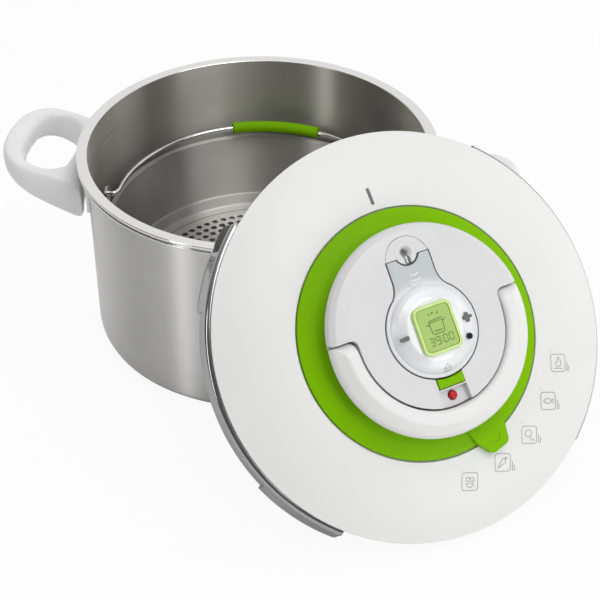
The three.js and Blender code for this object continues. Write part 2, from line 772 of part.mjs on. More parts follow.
/** C-section arc over the plate's edge at 3 o'clock, with a deeper claw at each end. */
function jaw() {
  const legInner = rimRadius - JAW_GRIP;
  const channel = [
    [jawOuter, jawTop],
    [jawOuter - JAW_TOP_LEG, jawTop],
    [jawOuter - JAW_TOP_LEG, jawTop - JAW_WALL],
    [jawInner, jawTop - JAW_WALL],
    [jawInner, jawLegTop],
    [legInner, jawLegTop],
    [legInner, jawBottom],
    [jawOuter, jawBottom],
  ];
  const claw = [
    [jawInner, jawTop - JAW_WALL],
    [jawInner, jawBottom - JAW_CLAW_DEPTH],
    [jawOuter + JAW_CLAW_THICKNESS, jawBottom - JAW_CLAW_DEPTH],
    [jawOuter + JAW_CLAW_THICKNESS, jawTop - JAW_WALL],
  ];
  return join(
    turnedArc(channel, -JAW_HALF_SPAN, JAW_HALF_SPAN, 14),
    turnedArc(claw, JAW_CLAW_START, JAW_HALF_SPAN, 4),
    turnedArc(claw, -JAW_HALF_SPAN, -JAW_CLAW_START, 4),
  );
}

/** Flat bar from the jaw to the hub, with the peg that runs in the barrel's groove. */
function jawArm() {
  const start = pegPlace - 2 * PEG_RADIUS;
  const stop = jawOuter - JAW_TOP_LEG + JAW_ARM_WIDTH / 2;
  const bar = block([start, stop], [-JAW_ARM_WIDTH / 2, JAW_ARM_WIDTH / 2], [armBottom, armTop]);
  const pegTop = HINGE_HEIGHT - pegTopRadius;
  return join(bar, uprightRod(PEG_RADIUS, armBottom + JAW_WALL / 2, pegTop, pegPlace, 0));
}

// Cover and selector ring

function domeHeight(radius) {
  const share = THREE.MathUtils.clamp((radius - domeStart) / (coverRadius - domeStart), 0, 1);
  return COVER_RISE * (1 - share ** COVER_BULGE);
}

function lidCover() {
  const steps = 6;
  const radii = Array.from({ length: steps + 1 }, (_, i) => THREE.MathUtils.lerp(coverRadius, domeStart, i / steps));
  const top = radii.map((radius) => [radius, domeHeight(radius)]);
  const under = [radii[3], radii[1]].map((radius) => [radius, domeHeight(radius) - COVER_WALL]);
  const shelfBottom = ringSeat - COVER_WALL;
  const cover = turned([
    ...top,
    [domeStart, ringSeat],
    [coverHole, ringSeat],
    [coverHole, shelfBottom],
    [domeStart + 2 * COVER_WALL, shelfBottom],
    ...under,
    [coverRadius - COVER_WALL, -COVER_EDGE],
    [coverRadius - COVER_EDGE / 3, -COVER_EDGE],
  ]);
  const postRadius = plateRadius - PLATE_WALL - 3 * COVER_POST_RADIUS;
  const posts = COVER_POST_ANGLES.map((angle) => {
    const roof = domeHeight(postRadius) - COVER_WALL / 2;
    return uprightRod(COVER_POST_RADIUS, SEAT_GAP - PLATE_TOP, roof, ...clockPlace(postRadius, angle), 8);
  });
  return join(cover, ...posts);
}

/** Sloping ring with a shield-shaped pointer that stands over the cover. */
function selectorRing() {
  const bottom = ringSeat + SEAT_GAP;
  const ring = turned([
    [ringInner, bottom],
    [ringOuter, bottom],
    [ringOuter, COVER_RISE],
    [ringOuter - RUN_GAP * 2, COVER_RISE + RUN_GAP],
    [ringInner + RING_WIDTH / 3, COVER_RISE + RING_RISE * 0.85],
    [ringInner + RUN_GAP * 3, COVER_RISE + RING_RISE],
    [ringInner, COVER_RISE + RING_RISE * 0.8],
  ]);
  const tip = ringOuter + POINTER_REACH;
  const shield = new THREE.Shape();
  shield.moveTo(-POINTER_HALF_WIDTH, ringInner + RING_WIDTH / 2);
  shield.lineTo(POINTER_HALF_WIDTH, ringInner + RING_WIDTH / 2);
  shield.lineTo(POINTER_HALF_WIDTH * 0.85, ringOuter);
  shield.quadraticCurveTo(POINTER_HALF_WIDTH * 0.6, tip, 0, tip);
  shield.quadraticCurveTo(-POINTER_HALF_WIDTH * 0.6, tip, -POINTER_HALF_WIDTH * 0.85, ringOuter);
  const base = COVER_RISE + RUN_GAP;
  const pointer = prism(shield, base, base + POINTER_HEIGHT, 1).rotateZ(-THREE.MathUtils.degToRad(POINTER_ANGLE));
  return join(ring, pointer);
}

// Control hub

/** Teardrop of the timer: a round part with a neck towards 12 o'clock, grown by a margin. */
function teardrop(margin, top) {
  const radius = TIMER_RADIUS + margin;
  const half = NECK_HALF_WIDTH + margin;
  const shoulder = 47; // degrees where the round part meets the neck
  const joint = arcPoints(0, 0, radius, shoulder, shoulder, 1)[0];
  const neckStart = [half, TIMER_RADIUS + NECK_HALF_WIDTH / 3];
  const pull = [half, TIMER_RADIUS - NECK_HALF_WIDTH / 4];
  const flank = new THREE.QuadraticBezierCurve(...vectors([neckStart, pull, joint])).getPoints(4);
  const right = [[half, top], ...flank.map((point) => [point.x, point.y])];
  const left = right.map(([x, y]) => [-x, y]).reverse();
  const round = arcPoints(0, 0, radius, shoulder, -180 - shoulder, 26).slice(1, -1);
  return outline([...right, ...round, ...left]);
}

function neckEnd(margin) {
  const radius = neckEndRadius + margin;
  return outline(arcPoints(0, neckEndCentre, radius, 0, 360, 24).slice(0, 24));
}

function buttonShape(margin) {
  const half = BUTTON_HALF_WIDTH + margin;
  const inner = buttonInner - 4 * margin; // a grown outline runs into the timer's pocket
  const reach = THREE.MathUtils.radToDeg(Math.asin(half / inner));
  return outline([
    [-half, -buttonOuter - margin],
    [half, -buttonOuter - margin],
    ...arcPoints(0, 0, inner, reach - 90, -reach - 90, 4),
  ]);
}

function controlHub() {
  const columnBottom = plateFloor + SEAT_GAP;
  const shoulder = ringSeat + SEAT_GAP;
  const over = HANDLE_TOP + HANDLE_BAR;
  const body = turned([
    [0, plateFace - HUB_STEM_DROP],
    [HUB_STEM, plateFace - HUB_STEM_DROP],
    [HUB_STEM, columnBottom],
    [HUB_COLUMN, columnBottom],
    [HUB_COLUMN, hubBottom],
    [coverHole - RUN_GAP, hubBottom],
    [coverHole - RUN_GAP, shoulder],
    [hubNeck, shoulder],
    [hubNeck, COVER_RISE + RING_RISE + RUN_GAP],
    [hubRadius - HUB_FLARE / 6, HUB_WIDEST - HUB_FLARE / 2],
    [hubRadius, HUB_WIDEST],
    [hubRadius - HUB_FLARE / 5, HUB_WIDEST + (HUB_TOP - HUB_WIDEST) / 2],
    [hubRadius - HUB_FLARE * 0.7, HUB_TOP - HUB_CROWN / 2],
    [hubRadius - HUB_FLARE * 1.7, HUB_TOP],
    [0, HUB_TOP + HUB_CROWN],
  ], HUB_ROUND);
  const trough = turned([
    [seamRadius, HANDLE_BOTTOM - RUN_GAP],
    [handleOuter + HANDLE_BAR, HANDLE_BOTTOM - RUN_GAP],
    [handleOuter + HANDLE_BAR, over],
    [seamRadius, over],
  ], HUB_ROUND);
  const lowerHalf = block([-2 * handleOuter, 2 * handleOuter], [-2 * handleOuter, 0], [0, 2 * over]);
  const tools = [
    common(trough, lowerHalf),
    prism(teardrop(RUN_GAP, NECK_TOP + RUN_GAP), TIMER_BOTTOM - SEAT_GAP, over),
    prism(neckEnd(SEAT_GAP), HUB_TOP - SHROUD_THICKNESS - SEAT_GAP, over),
    uprightRod(VALVE_RADIUS + RUN_GAP, TIMER_BOTTOM - SEAT_GAP, over, 0, VALVE_PLACE, 20),
    uprightRod(VALVE_PIPE + RUN_GAP, hubBottom - JAW_WALL, over, 0, VALVE_PLACE),
    uprightRod(INDICATOR_SHAFT + RUN_GAP, hubBottom - JAW_WALL, over, 0, INDICATOR_PLACE),
    uprightRod(INDICATOR_HEAD + RUN_GAP, channelFloor - INDICATOR_RISE, over, 0, INDICATOR_PLACE),
    prism(buttonShape(RUN_GAP), springBottom - SEAT_GAP, over),
    block([-BUTTON_HALF_WIDTH, BUTTON_HALF_WIDTH], [-handleOuter, -buttonOuter], [channelFloor, over]),
  ];
  const swing = KNUCKLE_RADIUS + RUN_GAP;
  for (const side of [1, -1]) {
    const along = (from, to) => (side > 0 ? [from, to] : [-to, -from]);
    const recess = along(seamRadius, handleOuter + HANDLE_BAR);
    const hollow = along(barrelStart - RUN_GAP, barrelStop + RUN_GAP);
    const width = BARREL_RADIUS + RUN_GAP;
    tools.push(
      crossRod(swing, ...recess, 0, HINGE_HEIGHT, 24),
      block(recess, [0, swing], [HINGE_HEIGHT, over]),
      crossRod(width, ...hollow, 0, HINGE_HEIGHT, 16),
      block(hollow, [-width, width], [hubBottom - JAW_WALL, HINGE_HEIGHT]),
      crossRod(PIN_RADIUS + RUN_GAP, ...along(barrelStart, handleOuter), 0, HINGE_HEIGHT),
    );
  }
  return cut(body, ...tools);
}

function moduleNut() {
  const top = plateFace - SEAT_GAP;
  const lobes = 8;
  const points = Array.from({ length: 4 * lobes }, (_, i) => {
    const angle = (2 * Math.PI * i) / (4 * lobes);
    const radius = NUT_RADIUS - (i % 4 === 0 ? HUB_WALL : 0);
    return [radius * Math.cos(angle), radius * Math.sin(angle)];
  });
  const bore = circlePoints(0, 0, HUB_STEM + RUN_GAP, MEDIUM_ROUND);
  return prism(outline(points, [bore]), top - NUT_HEIGHT, top);
}

/** Half ring that folds up about the 3 to 9 o'clock line, with a round knuckle at each end. */
function foldHandle() {
  const steps = 18;
  const flank = [
    [handleOuter, HUB_WIDEST],
    [handleOuter - HANDLE_EDGE / 2, HUB_WIDEST + HANDLE_EDGE],
    [handleInner + HANDLE_RIDGE, HANDLE_TOP],
  ];
  const section = [
    [handleInner, HANDLE_BOTTOM],
    [handleOuter - HANDLE_EDGE, HANDLE_BOTTOM],
    ...flank,
    [handleInner + HANDLE_EDGE / 3, HANDLE_TOP],
    [handleInner, HANDLE_TOP - HANDLE_EDGE / 3],
  ];
  const bar = turnedArc(section, 180, 360, steps);
  const knuckleBottom = HINGE_HEIGHT - KNUCKLE_RADIUS;
  const shell = turned([
    [0, knuckleBottom],
    [handleOuter - HUB_FLARE, knuckleBottom],
    ...flank,
    [0, HANDLE_TOP],
  ], HUB_ROUND);
  const knuckles = [1, -1].map((side) => {
    const [from, to] = side > 0 ? [handleInner, handleOuter] : [-handleOuter, -handleInner];
    return common(crossRod(KNUCKLE_RADIUS, from, to, 0, HINGE_HEIGHT, 24), shell);
  });
  const bores = [1, -1].map((side) => {
    const [from, to] = side > 0 ? [seamRadius, handleOuter - HANDLE_EDGE] : [HANDLE_EDGE - handleOuter, -seamRadius];
    return crossRod(PIN_RADIUS + PIN_SLEEVE, from, to, 0, HINGE_HEIGHT);
  });
  return cut(join(bar, ...knuckles), ...bores);
}

function handlePin() {
  return crossRod(PIN_RADIUS, barrelStart, handleOuter - HANDLE_EDGE - SEAT_GAP, 0, HINGE_HEIGHT);
}

/** Sleeve on the handle's pin whose helical groove drives a jaw arm out as the handle turns. */
function jawBarrel(side) {
  const sleeve = turned(
    [
      [PIN_RADIUS + PIN_SLEEVE, barrelStart],
      [BARREL_RADIUS, barrelStart],
      [BARREL_RADIUS, barrelStop],
      [PIN_RADIUS + PIN_SLEEVE, barrelStop],
    ],
    16,
  ).rotateY(Math.PI / 2);
  const margin = 30; // degrees of groove beyond each end of the swing
  const steps = 12;
  const rings = Array.from({ length: steps + 1 }, (_, i) => {
    const degrees = THREE.MathUtils.lerp(-margin, HANDLE_SWING + margin, i / steps);
    const travel = THREE.MathUtils.clamp(degrees / HANDLE_SWING, 0, 1) * JAW_TRAVEL;
    const angle = THREE.MathUtils.degToRad(side * degrees - 90);
    const bottom = pegTopRadius - RUN_GAP;
    const corner = (radius, offset) =>
      new THREE.Vector3(
        pegPlace + travel + offset,
        radius * Math.cos(angle),
        radius * Math.sin(angle),
      );
    return [
      corner(bottom, -grooveHalfWidth),
      corner(bottom, grooveHalfWidth),
      corner(2 * BARREL_RADIUS, grooveHalfWidth),
      corner(2 * BARREL_RADIUS, -grooveHalfWidth),
    ];
  });
  const groove = loft(rings, [[0, 1, 2], [0, 2, 3]]);
  return cut(sleeve, groove).translate(0, 0, HINGE_HEIGHT);
}

// Timer

function roundedBox(width, height, corner) {
  const x = width / 2 - corner;
  const y = height / 2 - corner;
  return outline([
    ...arcPoints(x, y, corner, 0, 90, 4),
    ...arcPoints(-x, y, corner, 90, 180, 4),
    ...arcPoints(-x, -y, corner, 180, 270, 4),
    ...arcPoints(x, -y, corner, 270, 360, 4),
  ]);
}

function keyShape(cross, margin) {
  const l = KEY_LENGTH / 2 + margin;
  const w = KEY_WIDTH / 2 + margin;
  if (!cross) return outline([[-l, -w], [l, -w], [l, w], [-l, w]]);
  return outline([[-l, -w], [-w, -w], [-w, -l], [w, -l], [w, -w], [l, -w], [l, w], [w, w], [w, l], [-w, l], [-w, w], [-l, w]]);
}

const keyBottom = domeTop - KEY_HEIGHT + KEY_STROKE;

function timerCase() {
  const body = prism(teardrop(0, NECK_TOP), TIMER_BOTTOM, TIMER_TOP, TIMER_EDGE);
  const rim = TIMER_RADIUS - TIMER_EDGE;
  const dome = turned(
    [
      [0, TIMER_BOTTOM + TIMER_EDGE],
      [rim, TIMER_BOTTOM + TIMER_EDGE],
      [rim, TIMER_TOP],
      [rim - TIMER_DOME / 2, TIMER_TOP + TIMER_DOME * 0.6],
      [rim - TIMER_DOME * 1.6, domeTop],
      [0, domeTop],
    ],
    MEDIUM_ROUND,
  );
  const well = [keyBottom - KEY_STROKE - SEAT_GAP, domeTop + KEY_HEIGHT];
  return cut(
    join(body, dome),
    uprightRod(VALVE_RADIUS + VALVE_CLEARANCE, 0, 2 * domeTop, 0, VALVE_PLACE, 20),
    prism(keyShape(true, SEAT_GAP), ...well).translate(KEY_REACH, 0, 0),
    prism(keyShape(false, SEAT_GAP), ...well).translate(-KEY_REACH, 0, 0),
    uprightRod(STATUS_LENS_RADIUS + SEAT_GAP, domeTop - KEY_HEIGHT, 2 * domeTop, ...STATUS_LENS_PLACE, 10),
  );
}

function displayBezel() {
  const window = roundedBox(DISPLAY_WIDTH - 2 * BEZEL_FRAME, DISPLAY_HEIGHT - 2 * BEZEL_FRAME, DISPLAY_CORNER - BEZEL_FRAME);
  const frame = prism(roundedBox(DISPLAY_WIDTH, DISPLAY_HEIGHT, DISPLAY_CORNER), bezelBottom, bezelBottom + BEZEL_RISE, 0.6);
  return cut(frame, prism(window, bezelBottom + BEZEL_RISE / 3, bezelBottom + 2 * BEZEL_RISE));
}

function displayLens() {
  const frame = 2 * (BEZEL_FRAME + SEAT_GAP);
  const bottom = bezelBottom + BEZEL_RISE / 3 + SEAT_GAP;
  const shape = roundedBox(DISPLAY_WIDTH - frame, DISPLAY_HEIGHT - frame, DISPLAY_CORNER - frame / 2);
  return prism(shape, bottom, bottom + LENS_THICKNESS);
}

function addTimer(lid) {
  addPart(lid, "timer_case", timerCase(), silverPlastic);
  addPart(lid, "display_bezel", displayBezel(), greenPlastic);
  addPart(lid, "display_lens", displayLens(), displayGreen);
  const key = (cross, x) => prism(keyShape(cross, 0), keyBottom, keyBottom + KEY_HEIGHT).translate(x, 0, 0);
  addPart(lid, "plus_key", key(true, KEY_REACH), greyKeys);
  addPart(lid, "minus_key", key(false, -KEY_REACH), greyKeys);
  const statusBottom = domeTop - KEY_HEIGHT + SEAT_GAP;
  const status = uprightRod(STATUS_LENS_RADIUS, statusBottom, domeTop + SEAT_GAP, ...STATUS_LENS_PLACE, 10);
  addPart(lid, "status_lens", status, blackPlastic);
}

// Valves, indicator and release button

function operatingValve() {
  const bottom = TIMER_BOTTOM;
  const top = HUB_TOP + HUB_CROWN / 2;
  const flare = (VALVE_RADIUS + VALVE_BORE) / 2;
  const knob = turned(
    [
      [VALVE_BORE, bottom],
      [VALVE_RADIUS, bottom],
      [VALVE_RADIUS, top - HUB_CROWN],
      [VALVE_RADIUS - HUB_CROWN, top],
      [flare, top],
      [VALVE_BORE, top - VALVE_BORE],
    ],
    20,
  );
  const slot = block([-VALVE_SLOT / 2, VALVE_SLOT / 2], [-2 * VALVE_RADIUS, 0], [top - VALVE_BORE, 2 * top]);
  return cut(knob, slot).translate(0, VALVE_PLACE, 0);
}

function valveShroud() {
  const bottom = HUB_TOP - SHROUD_THICKNESS;
  const plate = prism(neckEnd(0), bottom, HUB_TOP);
  const timerSide = block(
    [-2 * NECK_HALF_WIDTH, 2 * NECK_HALF_WIDTH],
    [0, NECK_TOP + RUN_GAP],
    [0, 2 * HUB_TOP],
  );
  return cut(plate, timerSide, uprightRod(VALVE_RADIUS + RUN_GAP, 0, 2 * HUB_TOP, 0, VALVE_PLACE, 20));
}

function flangedPipe(radius, bore, bottom, top) {
  const flangeTop = plateFace - SEAT_GAP;
  const flange = radius + FLANGE_EXTRA;
  return turned(
    [
      [bore, bottom],
      [radius, bottom],
      [radius, flangeTop - FLANGE_THICKNESS],
      [flange, flangeTop - FLANGE_THICKNESS],
      [flange, flangeTop],
      [radius, flangeTop],
      [radius, top],
      [bore, top],
    ],
    SMALL_ROUND,
  );
}

function pressureIndicator() {
  const headBottom = channelFloor - INDICATOR_RISE + SEAT_GAP;
  const headTop = channelFloor + INDICATOR_HEAD * 0.8;
  const stop = plateFace - INDICATOR_RISE - RUN_GAP;
  const pin = turned(
    [
      [0, stop - FLANGE_THICKNESS],
      [INDICATOR_SHAFT + RUN_GAP * 2, stop - FLANGE_THICKNESS],
      [INDICATOR_SHAFT + RUN_GAP * 2, stop],
      [INDICATOR_SHAFT, stop],
      [INDICATOR_SHAFT, headBottom],
      [INDICATOR_HEAD, headBottom],
      [INDICATOR_HEAD, headTop - INDICATOR_HEAD / 3],
      [INDICATOR_HEAD * 0.7, headTop],
      [0, headTop],
    ],
    SMALL_ROUND,
  );
  return pin.translate(0, INDICATOR_PLACE, 0);
}

function releaseSpring() {
  const middle = -(buttonInner + buttonOuter) / 2;
  const rise = SPRING_HEIGHT - 2 * SPRING_WIRE;
  const turnGap = rise / SPRING_TURNS - 2 * SPRING_WIRE;
  console.log(`release spring: least gap between turns ${turnGap.toFixed(2)} mm`);
  const helix = new Helix(SPRING_RADIUS, SPRING_TURNS, springBottom + SPRING_WIRE, rise);
  return swept(outline(circlePoints(0, 0, SPRING_WIRE, 5)), helix, 8 * SPRING_TURNS).translate(0, middle, 0);
}

function addValves(lid) {
  const pipeTop = TIMER_BOTTOM - 2 * SEAT_GAP;
  const pipe = flangedPipe(VALVE_PIPE, VALVE_PIPE / 2, plateFace - FLANGE_THICKNESS - VALVE_PIPE, pipeTop);
  const safety = flangedPipe(SAFETY_RADIUS, SAFETY_RADIUS / 2, plateFace - FLANGE_THICKNESS - VALVE_PIPE, hubBottom - RUN_GAP);
  addPart(lid, "operating_valve", operatingValve(), whitePlastic);
  addPart(lid, "valve_shroud", valveShroud(), whitePlastic);
  addPart(lid, "valve_pipe", pipe.translate(0, VALVE_PLACE, 0), polishedSteel);
  addPart(lid, "safety_valve", safety.translate(...SAFETY_PLACE, 0), polishedSteel);
  addPart(lid, "pressure_indicator", pressureIndicator(), redPlastic);
  const button = prism(buttonShape(0), buttonBottom, buttonBottom + BUTTON_HEIGHT, 0.6);
  addPart(lid, "release_button", button, greenPlastic);
  addPart(lid, "release_spring", releaseSpring(), polishedSteel);
}

function addLid(model) {
  // The lip stands just above the floor, and the plate's underside just clears the pot's rim.
  const reach = plateRadius + LID_REST;
  const sink = PLATE_SINK + lipBottom;
  const tilt = Math.asin((POT_HEIGHT - SEAT_GAP) / Math.hypot(reach, sink)) + Math.atan2(sink, reach);
  const azimuth = THREE.MathUtils.degToRad(LID_AZIMUTH);
  const height = SEAT_GAP + plateRadius * Math.sin(tilt) - lipBottom * Math.cos(tilt);
  const lean = (Math.cos(tilt) * (POT_HEIGHT - height) + PLATE_SINK + SEAT_GAP) / Math.sin(tilt);
  const distance = rimRadius + lean;
  const stand = new THREE.Group();
  stand.position.set(
    distance * Math.cos(azimuth) - LID_SHIFT * Math.sin(azimuth),
    distance * Math.sin(azimuth) + LID_SHIFT * Math.cos(azimuth),
    height,
  );
  stand.rotation.z = azimuth + Math.PI / 2;
  const leaning = new THREE.Group();
  leaning.rotation.x = tilt;
  const lid = new THREE.Group();
  lid.rotation.z = THREE.MathUtils.degToRad(LID_ROLL);

  addPart(lid, "lid_plate", lidPlate(), brushedSteel);
  addPart(lid, "lid_seal", lidSeal(), greyRubber);
  addPart(lid, "lid_cover", lidCover(), whitePlastic);
  addPart(lid, "selector_ring", selectorRing(), greenPlastic);
  addPart(lid, "control_hub", controlHub(), whitePlastic);
  addPart(lid, "module_nut", moduleNut(), greyKeys);
  addPart(lid, "fold_handle", foldHandle(), whitePlastic);
  for (const [side, sign] of [["right", 1], ["left", -1]]) {
    const turn = sign > 0 ? 0 : Math.PI;
    addPart(lid, `jaw_${side}`, jaw().rotateZ(turn), polishedSteel);
    addPart(lid, `jaw_arm_${side}`, jawArm().rotateZ(turn), polishedSteel);
    addPart(lid, `jaw_barrel_${side}`, jawBarrel(sign).rotateZ(turn), greyKeys);
    addPart(lid, `handle_pin_${side}`, handlePin().rotateZ(turn), polishedSteel);
  }
  addTimer(lid);
  addValves(lid);

  leaning.add(lid);
  stand.add(leaning);
  model.add(stand);
}

const cooker = new THREE.Group();
addPot(cooker);
addBasket(cooker);
addLid(cooker);

export default cooker;
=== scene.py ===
"""Looks of the pressure cooker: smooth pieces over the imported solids, their finishes, the studio and the camera.

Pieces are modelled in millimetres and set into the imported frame, which is in metres. Pieces of the lid are
modelled flat in the lid's own frame: Z is its axis, Y points to 12 o'clock and X to 3 o'clock.
"""

from __future__ import annotations

import json
import logging
import math
from dataclasses import dataclass
from enum import Enum
from typing import Callable, Sequence

import bpy
from mathutils import Matrix, Vector

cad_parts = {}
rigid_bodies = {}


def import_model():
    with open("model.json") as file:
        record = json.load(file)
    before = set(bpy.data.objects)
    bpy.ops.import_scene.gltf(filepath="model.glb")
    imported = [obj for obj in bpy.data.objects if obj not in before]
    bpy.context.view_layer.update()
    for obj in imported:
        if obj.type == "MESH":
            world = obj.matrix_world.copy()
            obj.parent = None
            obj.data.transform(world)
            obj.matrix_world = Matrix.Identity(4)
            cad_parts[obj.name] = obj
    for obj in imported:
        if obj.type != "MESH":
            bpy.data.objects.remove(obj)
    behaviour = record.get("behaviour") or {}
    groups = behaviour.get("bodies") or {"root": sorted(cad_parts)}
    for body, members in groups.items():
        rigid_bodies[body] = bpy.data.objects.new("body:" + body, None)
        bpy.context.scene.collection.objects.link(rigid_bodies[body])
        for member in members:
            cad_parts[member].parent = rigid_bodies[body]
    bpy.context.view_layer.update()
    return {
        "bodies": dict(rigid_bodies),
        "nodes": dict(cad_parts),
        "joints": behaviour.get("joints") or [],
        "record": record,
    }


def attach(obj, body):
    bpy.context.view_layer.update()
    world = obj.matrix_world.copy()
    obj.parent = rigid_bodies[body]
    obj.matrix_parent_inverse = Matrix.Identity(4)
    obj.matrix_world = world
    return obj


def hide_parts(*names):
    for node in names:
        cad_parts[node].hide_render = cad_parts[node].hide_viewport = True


LOG = logging.getLogger("cooker")
MM = 0.001
FULL_TURN = 2.0 * math.pi

Piece = bpy.types.Object
Pair = tuple[float, float]
Corner = tuple[float, float, float]
Color = tuple[float, float, float]
Tone = Color | bpy.types.NodeSocket


class Facets(Enum):
    """How finely round shapes are divided."""

    FINE = 160
    MEDIUM = 96
    SMALL = 48
    TINY = 24
    HOLE = 16


def rounded(corners: Sequence[Corner], closed: bool, steps: int = 5) -> list[Pair]:
    """Round the corners of an outline.

    Args:
        corners: Points with the length of the rounding at each one.
        closed: Whether the last point joins the first.
        steps: Segments in each rounding.

    Returns:
        The outline's points with every rounding drawn out.
    """
    points: list[Pair] = []
    count = len(corners)
    for i, (x, y, radius) in enumerate(corners):
        here = Vector((x, y))
        if radius <= 0.0 or (not closed and i in (0, count - 1)):
            points.append((x, y))
            continue
        before = Vector(corners[i - 1][:2]) - here
        after = Vector(corners[(i + 1) % count][:2]) - here
        opening = before.angle(after)
        reach = min(radius / math.tan(opening / 2.0), 0.49 * before.length, 0.49 * after.length)
        start = here + before.normalized() * reach
        stop = here + after.normalized() * reach
        for step in range(steps + 1):
            t = step / steps
            spot = start * (1 - t) ** 2 + here * 2 * t * (1 - t) + stop * t**2
            points.append((spot.x, spot.y))
    return points


def arc(x: float, y: float, radius: float, start: float, stop: float, steps: int) -> list[Pair]:
    """Points of an arc, with angles in degrees.

    Args:
        x: Centre.
        y: Centre.
        radius: Radius.
        start: First angle.
        stop: Last angle.
        steps: Segments.

    Returns:
        The points from the first angle to the last.
    """
    angles = (math.radians(start + (stop - start) * i / steps) for i in range(steps + 1))
    return [(x + radius * math.cos(a), y + radius * math.sin(a)) for a in angles]


def box_outline(width: float, height: float, corner: float) -> list[Pair]:
    """Outline of a rectangle with rounded corners, about the origin."""
    x, y = width / 2.0, height / 2.0
    return rounded([(-x, -y, corner), (x, -y, corner), (x, y, corner), (-x, y, corner)], True, 6)


class Workbench:
    """Modelling steps in millimetres, each done with Blender's own operators."""

    @staticmethod
    def clear() -> None:
        """Leave edit mode and deselect everything."""
        active = bpy.context.view_layer.objects.active
        if active and active.mode != "OBJECT":
            bpy.ops.object.mode_set(mode="OBJECT")
        bpy.ops.object.select_all(action="DESELECT")

    @staticmethod
    def pick(piece: Piece) -> None:
        """Make one piece the only selected one, and the active one."""
        Workbench.clear()
        piece.select_set(True)
        bpy.context.view_layer.objects.active = piece

    @staticmethod
    def chain(points: Sequence[Vector], face: bool) -> Piece:
        """Draw edges by extruding one vertex from point to point, and stay in edit mode.

        Args:
            points: The places that the chain passes.
            face: Whether the chain is closed and filled.

        Returns:
            The new mesh, all selected.
        """
        Workbench.clear()
        bpy.context.tool_settings.mesh_select_mode = (True, False, False)
        bpy.ops.mesh.primitive_plane_add(size=1.0)
        piece = bpy.context.object
        bpy.ops.object.mode_set(mode="EDIT")
        bpy.ops.mesh.merge(type="CENTER")
        bpy.ops.transform.translate(value=points[0])
        for here, there in zip(points, points[1:]):
            bpy.ops.mesh.extrude_vertices_move(TRANSFORM_OT_translate={"value": there - here})
        bpy.ops.mesh.select_all(action="SELECT")
        if face:
            bpy.ops.mesh.edge_face_add()
            bpy.ops.mesh.select_all(action="SELECT")
        return piece

    @staticmethod
    def seal(piece: Piece) -> Piece:
        """Merge doubles, turn the faces outwards and leave edit mode."""
        bpy.ops.mesh.select_all(action="SELECT")
        bpy.ops.mesh.remove_doubles(threshold=1e-3)
        bpy.ops.mesh.normals_make_consistent(inside=False)
        bpy.ops.object.mode_set(mode="OBJECT")
        return piece

    @staticmethod
    def turned(corners: Sequence[Corner], facets: Facets = Facets.FINE) -> Piece:
        """Turn a profile about Z.

        Args:
            corners: Radius, height and rounding of each corner. A first radius of 0 means a profile that starts
                and ends on the axis, and any other a closed ring.
            facets: How finely to turn it.

        Returns:
            The turned piece.
        """
        ring = corners[0][0] > 0.0
        points = [Vector((r, 0.0, z)) for r, z in rounded(corners, ring)]
        piece = Workbench.chain(points, ring)
        if ring:
            bpy.ops.mesh.delete(type="ONLY_FACE")
            bpy.ops.mesh.select_all(action="SELECT")
        bpy.ops.mesh.spin(steps=facets.value, angle=FULL_TURN, center=(0, 0, 0), axis=(0, 0, 1))
        return Workbench.seal(piece)

    @staticmethod
    def turned_arc(corners: Sequence[Corner], start: float, stop: float, steps: int) -> Piece:
        """Turn a closed section through part of a circle.

        Args:
            corners: Radius, height and rounding of each corner of the section.
            start: First angle in degrees, from X towards Y.
            stop: Last angle.
            steps: Segments.

        Returns:
            The closed piece.
        """
        points = [Vector((r, 0.0, z)) for r, z in rounded(corners, True)]
        piece = Workbench.chain(points, True)
        sweep = math.radians(stop - start)
        bpy.ops.mesh.spin(steps=steps, angle=sweep, center=(0, 0, 0), axis=(0, 0, -1))
        Workbench.seal(piece)
        return Workbench.move(piece, Matrix.Rotation(math.radians(start), 4, "Z"))

    @staticmethod
    def prism(outline: Sequence[Pair], bottom: float, top: float) -> Piece:
        """Extrude an outline from one height to another."""
        piece = Workbench.chain([Vector((x, y, bottom)) for x, y in outline], True)
        bpy.ops.mesh.extrude_region_move(TRANSFORM_OT_translate={"value": (0.0, 0.0, top - bottom)})
        return Workbench.seal(piece)

    @staticmethod
    def rod(radius: float, start: Vector, stop: Vector, facets: Facets = Facets.TINY) -> Piece:
        """Add a round rod between two points, as a cutter or a blank."""
        Workbench.clear()
        along = stop - start
        bpy.ops.mesh.primitive_cylinder_add(vertices=facets.value, radius=radius, depth=along.length)
        turn = Vector((0.0, 0.0, 1.0)).rotation_difference(along).to_matrix().to_4x4()
        return Workbench.move(bpy.context.object, Matrix.Translation((start + stop) / 2.0) @ turn)

    @staticmethod
    def wires(paths: Sequence[Sequence[Vector]], radius: float, closed: bool = False, sides: int = 2) -> Piece:
        """Lay round wires along paths and make them one mesh.

        Args:
            paths: Points of each wire.
            radius: Radius of the wire.
            closed: Whether each path joins its ends.
            sides: Blender's bevel resolution.

        Returns:
            The mesh.
        """
        Workbench.clear()
        curve = bpy.data.curves.new("wire", "CURVE")
        curve.dimensions = "3D"
        curve.bevel_depth = radius
        curve.bevel_resolution = sides
        curve.use_fill_caps = not closed
        for path in paths:
            spline = curve.splines.new("POLY")
            spline.points.add(len(path) - 1)
            spline.use_cyclic_u = closed
            for point, place in zip(spline.points, path):
                point.co = (*place, 1.0)
        piece = bpy.data.objects.new("wire", curve)
        bpy.context.scene.collection.objects.link(piece)
        Workbench.pick(piece)
        bpy.ops.object.convert(target="MESH")
        return bpy.context.object

